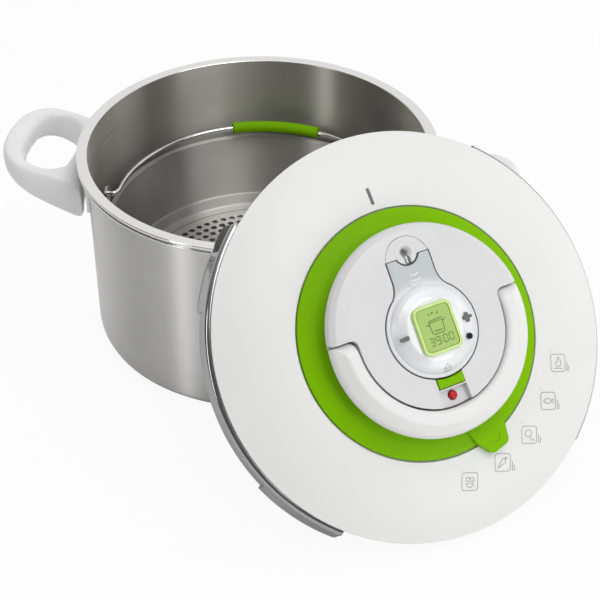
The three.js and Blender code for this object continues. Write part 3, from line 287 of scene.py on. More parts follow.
    @staticmethod
    def move(piece: Piece, matrix: Matrix) -> Piece:
        """Move a piece and put its place into its mesh."""
        Workbench.pick(piece)
        piece.matrix_world = matrix @ piece.matrix_world
        bpy.ops.object.transform_apply(location=True, rotation=True, scale=True)
        return piece

    @staticmethod
    def combine(piece: Piece, tool: Piece, operation: str = "DIFFERENCE") -> Piece:
        """Cut, join or trim a piece with another, which is used up."""
        Workbench.pick(piece)
        modifier = piece.modifiers.new("combine", "BOOLEAN")
        modifier.operation = operation
        modifier.solver = "EXACT"
        modifier.object = tool
        bpy.ops.object.modifier_apply(modifier=modifier.name)
        bpy.data.objects.remove(tool, do_unlink=True)
        return piece

    @staticmethod
    def merge(pieces: Sequence[Piece]) -> Piece:
        """Join pieces into the first one's mesh without cutting them."""
        Workbench.pick(pieces[0])
        for piece in pieces[1:]:
            piece.select_set(True)
        bpy.ops.object.join()
        return bpy.context.object

    @staticmethod
    def soften(piece: Piece, width: float, angle: float = 40.0, segments: int = 2) -> Piece:
        """Round every edge that is sharper than an angle in degrees."""
        Workbench.pick(piece)
        modifier = piece.modifiers.new("soften", "BEVEL")
        modifier.width = width
        modifier.segments = segments
        modifier.limit_method = "ANGLE"
        modifier.angle_limit = math.radians(angle)
        modifier.use_clamp_overlap = True
        bpy.ops.object.modifier_apply(modifier=modifier.name)
        return piece

    @staticmethod
    def bevel_edges(piece: Piece, width: float, chosen: Callable[[Vector, Vector], bool], segments: int = 3) -> Piece:
        """Bevel the edges that a test picks by their two ends."""
        Workbench.pick(piece)
        bpy.context.tool_settings.mesh_select_mode = (False, True, False)
        bpy.ops.object.mode_set(mode="EDIT")
        bpy.ops.mesh.select_all(action="DESELECT")
        bpy.ops.object.mode_set(mode="OBJECT")
        mesh = piece.data
        for edge in mesh.edges:
            a, b = (mesh.vertices[i].co for i in edge.vertices)
            edge.select = chosen(a, b)
        bpy.ops.object.mode_set(mode="EDIT")
        bpy.ops.mesh.bevel(offset=width, segments=segments, affect="EDGES", clamp_overlap=True)
        bpy.ops.object.mode_set(mode="OBJECT")
        return piece

    @staticmethod
    def install(
        piece: Piece,
        name: str,
        body: str,
        finish: bpy.types.Material,
        slot: str,
        place: Matrix,
        nodes: Sequence[str] = (),
        smooth: float = 38.0,
    ) -> Piece:
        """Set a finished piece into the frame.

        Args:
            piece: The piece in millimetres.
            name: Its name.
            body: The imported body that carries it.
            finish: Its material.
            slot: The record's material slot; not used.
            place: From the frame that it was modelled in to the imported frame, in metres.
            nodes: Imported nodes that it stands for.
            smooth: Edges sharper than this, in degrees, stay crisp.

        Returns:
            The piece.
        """
        Workbench.move(piece, place @ Matrix.Scale(MM, 4))
        bpy.ops.object.shade_smooth_by_angle(angle=math.radians(smooth))
        modifier = piece.modifiers.new("flat_faces", "WEIGHTED_NORMAL")
        modifier.keep_sharp = True
        bpy.ops.object.modifier_apply(modifier=modifier.name)
        piece.name = name
        piece.data.name = name
        piece.data.materials.clear()
        piece.data.materials.append(finish)
        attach(piece, body)
        if nodes:
            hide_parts(*nodes)
        LOG.info("%s rides on %s with %d faces", name, body, len(piece.data.polygons))
        return piece


class Sheet:
    """A material's node tree, filled by small calls."""

    def __init__(self, name: str) -> None:
        """Start an empty material with a surface output."""
        self.material = bpy.data.materials.new(name)
        self.material.use_nodes = True
        self.tree = self.material.node_tree
        self.tree.nodes.clear()
        self.output = self.add("ShaderNodeOutputMaterial")

    @classmethod
    def of_world(cls, world: bpy.types.World) -> Sheet:
        """Start the empty tree of a world instead of a material's."""
        sheet = cls.__new__(cls)
        sheet.tree = world.node_tree
        sheet.tree.nodes.clear()
        sheet.output = sheet.add("ShaderNodeOutputWorld")
        return sheet

    def ramp(self, value: bpy.types.NodeSocket, start: float, stop: float, top: float) -> bpy.types.NodeSocket:
        """Rise smoothly from 0 to a top value between two values."""
        node = self.add("ShaderNodeMapRange", interpolation_type="SMOOTHSTEP")
        node.inputs["From Min"].default_value = start
        node.inputs["From Max"].default_value = stop
        node.inputs["To Max"].default_value = top
        self.link(value, node.inputs["Value"])
        return node.outputs["Result"]

    def add(self, kind: str, **settings: object) -> bpy.types.Node:
        """Add a node and set its properties."""
        node = self.tree.nodes.new(kind)
        for key, value in settings.items():
            setattr(node, key, value)
        return node

    def link(self, source: bpy.types.NodeSocket, target: bpy.types.NodeSocket) -> None:
        """Join two sockets."""
        self.tree.links.new(source, target)

    def principled(self, color: Color, metallic: float, roughness: float) -> bpy.types.Node:
        """Add the surface shader and join it to the output."""
        shader = self.add("ShaderNodeBsdfPrincipled")
        shader.inputs["Base Color"].default_value = (*color, 1.0)
        shader.inputs["Metallic"].default_value = metallic
        shader.inputs["Roughness"].default_value = roughness
        self.link(shader.outputs["BSDF"], self.output.inputs["Surface"])
        return shader

    def maths(self, operation: str, *values: object) -> bpy.types.NodeSocket:
        """Add a math node from sockets and numbers, and return its result."""
        node = self.add("ShaderNodeMath", operation=operation)
        for socket, value in zip(node.inputs, values):
            if isinstance(value, bpy.types.NodeSocket):
                self.link(value, socket)
            else:
                socket.default_value = value
        return node.outputs[0]

    def noise(self, vector: bpy.types.NodeSocket, scale: float, detail: float = 3.0) -> bpy.types.NodeSocket:
        """Add a noise texture and return its value."""
        node = self.add("ShaderNodeTexNoise")
        node.inputs["Scale"].default_value = scale
        node.inputs["Detail"].default_value = detail
        self.link(vector, node.inputs["Vector"])
        return node.outputs["Fac"]

    def spread(self, value: bpy.types.NodeSocket, low: float, high: float) -> bpy.types.NodeSocket:
        """Map a noise value from its usual range to another."""
        node = self.add("ShaderNodeMapRange")
        node.inputs["From Min"].default_value = 0.3
        node.inputs["From Max"].default_value = 0.7
        node.inputs["To Min"].default_value = low
        node.inputs["To Max"].default_value = high
        self.link(value, node.inputs["Value"])
        return node.outputs["Result"]

    def tones(self, value: bpy.types.NodeSocket, first: Tone, second: Tone) -> bpy.types.NodeSocket:
        """Mix two colours, each a plain one or a socket, by a value."""
        node = self.add("ShaderNodeMix", data_type="RGBA")
        colors = [socket for socket in node.inputs if socket.type == "RGBA"]
        for socket, tone in zip(colors, (first, second)):
            if isinstance(tone, bpy.types.NodeSocket):
                self.link(tone, socket)
            else:
                socket.default_value = (*tone, 1.0)
        self.link(value, node.inputs["Factor"])
        return next(socket for socket in node.outputs if socket.type == "RGBA")

    def bump(self, height: bpy.types.NodeSocket, strength: float, distance: float) -> bpy.types.NodeSocket:
        """Add a bump from a height and return its normal."""
        node = self.add("ShaderNodeBump")
        node.inputs["Strength"].default_value = strength
        node.inputs["Distance"].default_value = distance
        self.link(height, node.inputs["Height"])
        return node.outputs["Normal"]


def shade(color: Color, factor: float) -> Color:
    """Brighten or darken a colour."""
    return (color[0] * factor, color[1] * factor, color[2] * factor)


@dataclass(frozen=True)
class SpunSteel:
    """Steel with the fine lines of turning or brushing round the pot's axis; it can paint shade inside a radius and a
    highlight on a polished rim.
    """

    name: str
    color: Color
    roughness: float
    anisotropy: float
    line_scale: float = 900.0
    line_depth: float = 0.02
    contrast: float = 0.04
    # Radius and height beyond which the rim is polished and coloured brighter as a painted highlight.
    rim: Pair = (math.inf, math.inf)
    # Radius inside which the steel gets painted shade, a darker and warmer tone; 0 for none.
    inside_shade_radius: float = 0.0

    def material(self) -> bpy.types.Material:
        """Make the material."""
        sheet = Sheet(self.name)
        shader = sheet.principled(self.color, 1.0, self.roughness)
        shader.inputs["Anisotropic"].default_value = self.anisotropy
        shader.inputs["Anisotropic Rotation"].default_value = 0.25
        tangent = sheet.add("ShaderNodeTangent", direction_type="RADIAL", axis="Z")
        sheet.link(tangent.outputs["Tangent"], shader.inputs["Tangent"])
        place = sheet.add("ShaderNodeTexCoord").outputs["Object"]
        parts = sheet.add("ShaderNodeSeparateXYZ")
        sheet.link(place, parts.inputs["Vector"])
        x, y, z = parts.outputs
        radius = sheet.maths("SQRT", sheet.maths("ADD", sheet.maths("POWER", x, 2.0), sheet.maths("POWER", y, 2.0)))
        around = sheet.maths("ADD", sheet.maths("MULTIPLY", x, 14.0), sheet.maths("MULTIPLY", y, 23.0))
        lines = sheet.add("ShaderNodeCombineXYZ")
        sheet.link(sheet.maths("MULTIPLY", radius, self.line_scale), lines.inputs["X"])
        sheet.link(sheet.maths("MULTIPLY", z, self.line_scale), lines.inputs["Y"])
        sheet.link(around, lines.inputs["Z"])
        grain = sheet.noise(lines.outputs["Vector"], 1.0, 4.0)
        smudge = sheet.noise(place, 18.0, 2.0)
        rough = sheet.maths("ADD", sheet.spread(grain, -0.05, 0.05), sheet.spread(smudge, -0.03, 0.03))
        rough = sheet.maths("ADD", rough, self.roughness)
        tone = sheet.tones(grain, shade(self.color, 1.0 - self.contrast), shade(self.color, 1.0 + self.contrast))
        # Painted shade: inside this radius the steel is coloured darker and warmer than outside.
        if self.inside_shade_radius:
            inside = sheet.maths("LESS_THAN", radius, self.inside_shade_radius)
            tone = sheet.tones(inside, tone, (self.color[0] * 0.79, self.color[1] * 0.765, self.color[2] * 0.725))
        # The rim is polished, with lower roughness, and its colour is made 15 % brighter as a painted highlight.
        if math.isfinite(self.rim[0]):
            outside = sheet.maths("GREATER_THAN", radius, self.rim[0])
            polish_and_highlight = sheet.maths("MULTIPLY", outside, sheet.maths("GREATER_THAN", z, self.rim[1]))
            rough = sheet.maths("SUBTRACT", rough, sheet.maths("MULTIPLY", polish_and_highlight, self.roughness * 0.7))
            tone = sheet.tones(polish_and_highlight, tone, shade(self.color, 1.15))
        sheet.link(rough, shader.inputs["Roughness"])
        sheet.link(tone, shader.inputs["Base Color"])
        sheet.link(sheet.bump(grain, self.line_depth, 0.0002), shader.inputs["Normal"])
        return sheet.material


@dataclass(frozen=True)
class Polished:
    """Bright steel with faint handling marks."""

    name: str
    color: Color
    roughness: float

    def material(self) -> bpy.types.Material:
        """Make the material."""
        sheet = Sheet(self.name)
        shader = sheet.principled(self.color, 1.0, self.roughness)
        place = sheet.add("ShaderNodeTexCoord").outputs["Object"]
        smudge = sheet.noise(place, 60.0, 4.0)
        sheet.link(sheet.spread(smudge, self.roughness * 0.8, self.roughness * 1.4), shader.inputs["Roughness"])
        sheet.link(sheet.tones(smudge, shade(self.color, 0.95), self.color), shader.inputs["Base Color"])
        return sheet.material


@dataclass(frozen=True)
class Moulded:
    """Moulded plastic: a faint grain, slight tone changes and a soft gloss."""

    name: str
    color: Color
    roughness: float
    grain: float = 0.04
    coat: float = 0.0
    gloss: float = 0.5

    def material(self) -> bpy.types.Material:
        """Make the material."""
        sheet = Sheet(self.name)
        shader = sheet.principled(self.color, 0.0, self.roughness)
        shader.inputs["Specular IOR Level"].default_value = self.gloss
        shader.inputs["Coat Weight"].default_value = self.coat
        shader.inputs["Coat Roughness"].default_value = 0.12
        place = sheet.add("ShaderNodeTexCoord").outputs["Object"]
        fine = sheet.noise(place, 2600.0, 2.0)
        cloud = sheet.noise(place, 22.0, 3.0)
        sheet.link(sheet.tones(cloud, shade(self.color, 0.975), shade(self.color, 1.015)), shader.inputs["Base Color"])
        sheet.link(sheet.spread(cloud, self.roughness * 0.93, self.roughness * 1.07), shader.inputs["Roughness"])
        sheet.link(sheet.bump(fine, self.grain, 0.0001), shader.inputs["Normal"])
        return sheet.material


@dataclass(frozen=True)
class PearlPaint:
    """Silver paint of the timer, paler round the display than at the neck."""

    name: str
    pale: Color
    silver: Color
    centre: Vector
    inner: float
    outer: float

    def material(self) -> bpy.types.Material:
        """Make the material."""
        sheet = Sheet(self.name)
        shader = sheet.principled(self.silver, 0.15, 0.32)
        shader.inputs["Coat Weight"].default_value = 0.25
        shader.inputs["Coat Roughness"].default_value = 0.1
        place = sheet.add("ShaderNodeTexCoord").outputs["Object"]
        away = sheet.add("ShaderNodeVectorMath", operation="DISTANCE")
        sheet.link(place, away.inputs[0])
        away.inputs[1].default_value = self.centre
        share = sheet.add("ShaderNodeMapRange", interpolation_type="SMOOTHSTEP")
        share.inputs["From Min"].default_value = self.inner
        share.inputs["From Max"].default_value = self.outer
        sheet.link(away.outputs["Value"], share.inputs["Value"])
        sheet.link(sheet.tones(share.outputs["Result"], self.pale, self.silver), shader.inputs["Base Color"])
        flake = sheet.noise(place, 5200.0, 1.0)
        sheet.link(sheet.spread(flake, 0.26, 0.4), shader.inputs["Roughness"])
        sheet.link(sheet.bump(flake, 0.03, 0.0001), shader.inputs["Normal"])
        return sheet.material


class Finishes:
    """Every finish on the cooker, made once."""

    def __init__(self, timer_centre: Vector) -> None:
        """Make the materials.

        Args:
            timer_centre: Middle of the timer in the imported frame.
        """
        # Pot steel: painted shade on its inside surfaces, and a painted highlight on its polished rim.
        self.pot = SpunSteel("pot_steel", (0.75, 0.745, 0.735), 0.4, 1.0, rim=(0.1174, 0.1398), inside_shade_radius=0.118).material()
        self.basket = SpunSteel("basket_steel", (0.59, 0.57, 0.547), 0.4, 1.0, 700.0, 0.012, 0.025).material()
        self.base = SpunSteel("base_steel", (0.58, 0.57, 0.56), 0.3, 0.3).material()
        self.bright = Polished("bright_steel", (0.72, 0.72, 0.715), 0.09).material()
        # Painted shade: the jaws' polished steel is coloured darker than the bright steel, standing in for the dark
        # surroundings they reflect.
        self.jaw = Polished("jaw_steel", (0.44, 0.44, 0.445), 0.08).material()
        self.core = Polished("base_aluminium", (0.72, 0.73, 0.74), 0.4).material()
        self.white = Moulded("lid_white", (0.80, 0.80, 0.79), 0.42).material()
        # Painted light: the loop handles' white is a lighter copy of the white plastic, brightening their shaded near
        # sides.
        self.white_grip = Moulded("grip_white", (0.86, 0.86, 0.86), 0.26, 0.02, 0.3).material()
        # Painted shade: the hub's white is a darker copy of the same white plastic, toning down the light its gloss
        # catches.
        self.white_hub = Moulded("hub_white", (0.69, 0.69, 0.695), 0.36, 0.02, 0.05).material()
        self.white_gloss = Moulded("handle_white", (0.79, 0.79, 0.785), 0.34, 0.02, 0.1).material()
        self.green = Moulded("apple_green", (0.205, 0.48, 0.001), 0.42, 0.05, gloss=0.06).material()
        self.green_clear = Moulded("bezel_green", (0.56, 0.76, 0.22), 0.16, 0.0, 0.6).material()
        self.display = Moulded("display_green", (0.36, 0.53, 0.11), 0.3, 0.02, 0.3).material()
        self.segments = Moulded("display_ink", (0.11, 0.20, 0.04), 0.4).material()
        self.silver = PearlPaint(
            "timer_silver", (0.82, 0.83, 0.84), (0.49, 0.52, 0.54), timer_centre, 0.024, 0.034
        ).material()
        self.key_grey = Moulded("key_grey", (0.13, 0.135, 0.14), 0.5, 0.08).material()
        self.red = Moulded("signal_red", (0.50, 0.006, 0.014), 0.3, 0.02, 0.1, 0.3).material()
        self.black = Moulded("lens_black", (0.006, 0.006, 0.007), 0.25, 0.0, 0.0, 0.2).material()
        self.ink = Moulded("print_grey", (0.28, 0.28, 0.285), 0.5).material()
        # Closing mark: its own grey, darkened further as painted shade of the groove it stands for.
        self.mark = Moulded("mark_grey", (0.16, 0.16, 0.165), 0.5).material()
        self.rubber = Moulded("seal_rubber", (0.3, 0.31, 0.32), 0.75, 0.15).material()
        # Painted highlight: the neck's raised arcs are the timer's silver plastic, coloured pale for the light their
        # ridges catch.
        self.grip_line_highlight = Moulded("grip_lines", (0.78, 0.79, 0.8), 0.4).material()


@dataclass
class Stance:
    """How the lid stands against the pot."""

    tilt: float = 47.8
    azimuth: float = -59.5
    roll: float = 3.5
    origin: Vector = Vector((0.115027, -0.14208, 0.101771))

    def matrix(self) -> Matrix:
        """From the lid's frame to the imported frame."""
        stand = Matrix.Rotation(math.radians(self.azimuth + 90.0), 4, "Z")
        lean = Matrix.Rotation(math.radians(self.tilt), 4, "X")
        turn = Matrix.Rotation(math.radians(self.roll), 4, "Z")
        return Matrix.Translation(self.origin) @ stand @ lean @ turn


@dataclass
class Pot:
    """Steel pot, its base and the two loop handles."""

    finishes: Finishes
    height: float = 145.0
    radius: float = 118.7
    wall: float = 1.5
    bottom: float = 4.0
    corner: float = 10.0
    rim: float = 125.0
    lip: float = 5.0
    base_radius: float = 106.7
    grip_tip: float = 181.0
    grip_hole: Pair = (16.0, 32.0)
    grip_half_spread: float = 43.0
    grip_bar: float = 15.5
    grip_top: float = 125.0
    grip_tip_height: float = 15.5
    grip_root_height: float = 31.0
    grip_taper: float = 0.95
    grip_lean: float = 0.22
    grip_turn: float = -5.0
    grip_seat: float = 122.5
    bulge: float = 2.4

    def build(self) -> None:
        """Make the pot's pieces."""
        home = Matrix.Identity(4)
        Workbench.install(
            self.shell(), "pot_shell", "pot", self.finishes.pot, "brushed_steel", home, ["pot_body"]
        )
        Workbench.install(
            self.base(), "pot_base", "pot", self.finishes.base, "brushed_steel", home, ["base_cap"]
        )
        for name, turn in (("right_grip", 0.0), ("left_grip", 180.0)):
            place = Matrix.Rotation(math.radians(turn + self.grip_turn), 4, "Z")
            Workbench.install(
                self.grip(), f"{name}_loop", "pot", self.finishes.white_grip, "white_plastic", place, [name], 60.0
            )

    def shell(self) -> Piece:
        """Turn the pot with its rolled rim."""
        inner = self.radius - self.wall
        groove = self.rim - 3.0
        top = self.height
        return Workbench.turned(
            [
                (0.0, self.bottom, 0.0),
                (self.radius, self.bottom, self.corner),
                (self.radius, top - self.lip, 0.4),
                (self.rim - 0.4, top - self.lip + 0.2, 0.6),
                (self.rim - 0.4, top - self.lip + 1.2, 0.4),
                (groove, top - self.lip + 1.4, 0.2),
                (groove, top - self.lip + 2.8, 0.2),
                (self.rim - 0.2, top - self.lip + 3.0, 0.8),
                (self.rim - 0.2, top, 1.5),
                (inner, top, 1.1),
                (inner, self.bottom + self.wall, self.corner - self.wall),
                (0.0, self.bottom + self.wall, 0.0),
            ]
        )

    def base(self) -> Piece:
        """Turn the steel cap under the pot."""
        top = self.bottom - 0.3
        wall = 0.8
        return Workbench.turned(
            [
                (0.0, 0.0, 0.0),
                (self.base_radius, 0.0, 1.2),
                (self.base_radius, top, 0.3),
                (self.base_radius - wall, top, 0.3),
                (self.base_radius - wall, wall, 0.4),
                (0.0, wall, 0.0),
            ]
        )

    def grip(self) -> Piece:
        """Shape a torus into the loop handle on the +X side."""
        around, across = 96, 24
        Workbench.clear()
        bpy.ops.mesh.primitive_torus_add(major_segments=around, minor_segments=across, major_radius=30, minor_radius=8)
        piece = bpy.context.object
        for i, vertex in enumerate(piece.data.vertices):
            turn = FULL_TURN * (i // across) / around
            section = FULL_TURN * (i % across) / across
            vertex.co = self.grip_point(turn, section)
        bpy.ops.object.mode_set(mode="EDIT")
        return Workbench.seal(piece)

    def grip_point(self, turn: float, section: float) -> Vector:
        """Place one point of the loop handle.

        Args:
            turn: Angle round the finger hole.
            section: Angle round the bar.

        Returns:
            The point in millimetres.
        """
        c, s = math.cos(turn), math.sin(turn)
        middle = self.grip_tip - self.grip_bar - self.grip_hole[0]

        def reach(x: float, y: float) -> float:
            """Distance to a bulged outline along the turn."""
            return (abs(c / x) ** self.bulge + abs(s / y) ** self.bulge) ** (-1.0 / self.bulge)

        hole = reach(*self.grip_hole)
        rim = reach(self.grip_tip - middle, self.grip_half_spread)
        if c < 0.0:
            root = self.grip_seat**2 - (middle * s) ** 2
            wall = -middle * c - math.sqrt(root) if root > 0.0 else math.inf
            rim = min(wall, self.grip_half_spread / max(abs(s), 1e-6))
        share = (middle + rim * c - self.grip_seat) / (self.grip_tip - self.grip_seat) / self.grip_taper
        thinned = min(max(share, 0.0), 1.0)
        height = self.grip_root_height + (self.grip_tip_height - self.grip_root_height) * thinned
        power = 2.0 / 2.9

        def squared(value: float) -> float:
            """Push a circle's coordinate towards a rounded square."""
            return math.copysign(abs(value) ** power, value)

        out = (hole + rim) / 2.0 + (rim - hole) / 2.0 * squared(math.cos(section))
        up = self.grip_top - height / 2.0 + height / 2.0 * squared(math.sin(section))
        x = middle + out * c
        return Vector((x, out * s, up + self.grip_lean * (x - self.grip_seat)))


@dataclass
class Basket:
    """Steaming basket with its perforated floor, bail and grip."""

    finishes: Finishes
    floor: float = 28.1
    height: float = 59.0
    rim: float = 108.2
    top_radius: float = 105.2
    floor_radius: float = 98.2
    wall: float = 1.0
    plate_radius: float = 89.9
    sheet: float = 0.35
    hole_pitch: float = 6.9
    hole_radius: float = 2.3
    row_pitch: float = 6.5
    hole_reach: float = 80.4
    bail_height: float = 97.1
    hoop_radius: float = 101.8
    lug_face: float = 108.5
    wire: float = 1.7
    grip_radius: float = 4.2
    grip_half_span: float = 18.5

    def build(self) -> None:
        """Make the basket's pieces."""
        home = Matrix.Identity(4)
        steel = self.finishes.basket
        Workbench.install(
            self.wall_ring(), "basket_side", "basket", steel, "brushed_steel", home, ["basket_wall"]
        )
        Workbench.install(
            self.floor_plate(), "basket_sieve", "basket", steel, "brushed_steel", home, ["basket_floor"], 20.0
        )
        bright = self.finishes.bright
        Workbench.install(self.bail(), "bail_hoop", "bail", bright, "polished_steel", home, ["bail_wire"])
        Workbench.install(
            self.grip(), "bail_sleeve", "bail", self.finishes.green, "green_plastic", home, ["bail_grip"]
        )

    def wall_ring(self) -> Piece:
        """Turn the side with its rolled rim and the step that carries the floor."""
        top = self.floor + self.height
        ledge = self.plate_radius - 5.0
        w = self.wall
        return Workbench.turned(
            [
                (ledge, self.floor, 0.2),
                (self.floor_radius - 1.8, self.floor, 2.0),
                (self.floor_radius + 0.6, self.floor + 9.4, 1.0),
                (self.floor_radius + 2.4, self.floor + 9.6, 1.0),
                (self.top_radius, top - 3.0, 0.6),
                (self.rim, top - 3.0, 1.2),
                (self.rim, top, 1.2),
                (self.top_radius - w, top, 1.0),
                (self.floor_radius + 1.5, self.floor + 10.8, 0.3),
                (self.floor_radius - 0.4, self.floor + 10.6, 0.5),
                (self.plate_radius + 5.2, self.floor + 2.9, 2.4),
                (self.plate_radius - 1.0, self.floor + 2.5, 0.3),
                (self.plate_radius - 1.0, self.floor + 1.9, 0.1),
                (self.plate_radius + 0.3, self.floor + 1.9, 0.1),
                (self.plate_radius + 0.3, self.floor + w, 0.1),
                (ledge, self.floor + w, 0.2),
            ]
        )

    def floor_plate(self) -> Piece:
        """Punch a round sheet with holes in rows round its middle."""
        bottom = self.floor + self.wall + 0.3
        top = bottom + self.sheet
        sheet = Workbench.turned(
            [(0.0, bottom, 0.0), (self.plate_radius, bottom, 0.1), (self.plate_radius, top, 0.1), (0.0, top, 0.0)],
            Facets.MEDIUM,
        )
        punch = Workbench.rod(self.hole_radius, Vector((0, 0, bottom - 1)), Vector((0, 0, top + 1)), Facets.HOLE)
        Workbench.pick(punch)
        punches = [punch]
        for row in range(int(self.hole_reach / self.row_pitch)):
            radius = self.hole_reach - row * self.row_pitch
            count = round(FULL_TURN * radius / self.hole_pitch)
            for i in range(count):
                angle = FULL_TURN * (i + row / 2.0) / count
                copy = bpy.data.objects.new("punch", punch.data.copy())
                bpy.context.scene.collection.objects.link(copy)
                copy.location = (radius * math.cos(angle), radius * math.sin(angle), 0.0)
                punches.append(copy)
        return Workbench.combine(sheet, Workbench.merge(punches))

    def bail(self) -> Piece:
        """Bend the wire with a stub through each lug."""
        bend = 5.0 / self.hoop_radius
        z = self.bail_height
        hoop = []
        for i in range(73):
            angle = bend + (math.pi - 2.0 * bend) * i / 72
            hoop.append((self.hoop_radius * math.cos(angle), self.hoop_radius * math.sin(angle)))
        end = self.lug_face + 2.35
        knee = self.hoop_radius + 2.2
        path = rounded(
            [(end, 0.0, 0.0), (knee, 0.0, 2.4), *[(x, y, 0.0) for x, y in hoop], (-knee, 0.0, 2.4), (-end, 0.0, 0.0)],
            False,
            6,
        )
        return Workbench.wires([[Vector((x, y, z)) for x, y in path]], self.wire, sides=4)

    def grip(self) -> Piece:
        """Turn the sleeve along the hoop, with rounded ends."""
        steps = 48
        start, stop = 90.0 - self.grip_half_span, 90.0 + self.grip_half_span
        path = arc(0.0, 0.0, self.hoop_radius, start, stop, steps)
        sleeve = Workbench.wires([[Vector((x, y, self.bail_height)) for x, y in path]], self.grip_radius, sides=10)
        return Workbench.soften(sleeve, 0.9, 60.0, 3)


@dataclass
class LidCover:
    """White domed cover with its printed marks, and the steel jaws under its edge."""

    finishes: Finishes
    place: Matrix
    radius: float = 130.0
    dome_start: float = 80.3
    rise: float = 11.2
    bulge: float = 1.8
    wall: float = 2.2
    seat: float = 8.2
    hole: float = 57.96
    icon_radius: float = 98.0
    icon_size: float = 11.0
    line: float = 0.2

    def build(self) -> None:
        """Make the cover, its marks and the jaws."""
        Workbench.install(
            self.dome(), "lid_dome", "lid", self.finishes.white, "white_plastic", self.place, ["lid_cover"]
        )
        Workbench.install(
            self.underside(), "lid_underside", "lid", self.finishes.base, "brushed_steel", self.place, ["lid_plate"]
        )
        Workbench.install(
            self.gasket(), "lid_gasket", "lid", self.finishes.rubber, "seal_rubber", self.place, ["lid_seal"]
        )
        Workbench.install(self.mark(), "closing_mark", "lid", self.finishes.mark, "grey_plastic", self.place)
        Workbench.install(self.icons(), "food_icons", "lid", self.finishes.ink, "grey_plastic", self.place)
        for side, turn in (("right", 0.0), ("left", math.pi)):
            Workbench.install(
                self.jaw(),
                f"jaw_{side}_band",
                f"{side}_jaw",
                self.finishes.jaw,
                "polished_steel",
                self.place @ Matrix.Rotation(turn, 4, "Z"),
                [f"jaw_{side}"],
            )

    def height_at(self, radius: float) -> float:
        """Height of the dome's top at a radius."""
        share = min(max((radius - self.dome_start) / (self.radius - self.dome_start), 0.0), 1.0)
        return self.rise * (1.0 - share**self.bulge)

    def dome(self) -> Piece:
        """Turn the cover."""
        steps = 28
        radii = [self.radius + (self.dome_start - self.radius) * i / steps for i in range(1, steps + 1)]
        top = [(r, self.height_at(r), 0.0) for r in radii[:-1]]
        under = [(r, self.height_at(r) - self.wall, 0.0) for r in reversed(radii[2:-3:4])]
        return Workbench.turned(
            [
                (self.radius, -1.0, 0.4),
                (self.radius, 0.2, 0.7),
                *top,
                (self.dome_start, self.rise, 0.5),
                (self.dome_start, self.seat, 0.3),
                (self.hole, self.seat, 0.3),
                (self.hole, self.seat - self.wall, 0.3),
                (self.dome_start + 2.0 * self.wall, self.seat - self.wall, 0.3),
                *under,
                (self.radius - self.wall, -1.0, 0.3),
            ]
        )

    def underside(self) -> Piece:
        """Turn the steel plate with its channel for the seal, and drill it for the valves."""
        stem, face, floor = 8.3, -12.0, -10.8
        plate = Workbench.turned(
            [
                (stem, face, 0.0),
                (95.3, face, 3.0),
                (98.7, -5.2, 2.0),
                (125.8, -5.2, 1.2),
                (125.8, -11.0, 0.3),
                (127.0, -11.0, 0.3),
                (127.0, -4.0, 1.6),
                (97.5, -4.0, 2.0),
                (94.1, floor, 3.0),
                (stem, floor, 0.0),
            ]
        )
        for radius, x, y in ((5.0, 0.0, 49.6), (5.5, -30.0, -30.0), (2.3, 0.0, -42.0)):
            drill = Workbench.rod(radius, Vector((x, y, face - 2.0)), Vector((x, y, floor + 2.0)), Facets.SMALL)
            Workbench.combine(plate, drill)
        return plate

    @staticmethod
    def gasket() -> Piece:
        """Turn the rubber seal with its two lips."""
        inner, outer, top, face, lip = 105.3, 125.3, -5.5, -10.0, 2.25
        return Workbench.turned(
            [
                (inner, top - lip / 2, 0.4),
                (inner + lip, top, 0.6),
                (outer - lip / 2, top, 0.6),
                (outer, top - lip / 2, 0.4),
                (outer, face, 0.6),
                (outer - lip, face, 0.6),
                (outer - 2 * lip, face + lip, 0.8),
                (inner + 2 * lip, face + lip, 0.8),
                (inner + lip, face, 0.6),
            ]
        )

    def on_dome(self, x: float, y: float, lift: float = 0.05) -> Vector:
        """Point on the dome above a place on the lid's face."""
        return Vector((x, y, self.height_at(math.hypot(x, y)) + lift))

    def mark(self) -> Piece:
        """Lay the closing mark at 12 o'clock as a low rib, its grey deepened as painted shade of a groove."""
        inner, outer, steps = 84.3, 95.0, 8
        path = [self.on_dome(0.0, inner + (outer - inner) * i / steps, -0.75) for i in range(steps + 1)]
        return Workbench.soften(Workbench.wires([path], 1.35, sides=4), 0.7, 60.0, 2)

    def icons(self) -> Piece:
        """Draw five plain pictograms beside the selector's stops."""
        drawings = [self.flame, self.fish, self.drumstick, self.carrot, self.steam]
        paths: list[list[Vector]] = []
        half = self.icon_size / 2.0
        frame = rounded([(-half, -half, 2.0), (half, -half, 2.0), (half, half, 2.0), (-half, half, 2.0)], True)
        for i, drawing in enumerate(drawings):
            clock = math.radians(120.0 + 15.0 * i)
            centre = Vector((math.sin(clock), math.cos(clock))) * self.icon_radius
            slant = math.radians(-18.0)
            strokes = [frame + [frame[0]], *drawing(half * 0.72), [(-half, half + 2.2), (-half + 0.6, half + 2.2)]]
            if i < len(drawings) - 1:
                strokes.append([(half + 1.6, -half), (half + 1.6, half * 0.1)])
                strokes.append([(half + 2.9, -half), (half + 2.9, -half * 0.3)])
            for stroke in strokes:
                path = []
                for x, y in stroke:
                    u = centre.x + x * math.cos(slant) - y * math.sin(slant)
                    v = centre.y + x * math.sin(slant) + y * math.cos(slant)
                    path.append(self.on_dome(u, v))
                paths.append(path)
        return Workbench.wires(paths, self.line, sides=1)

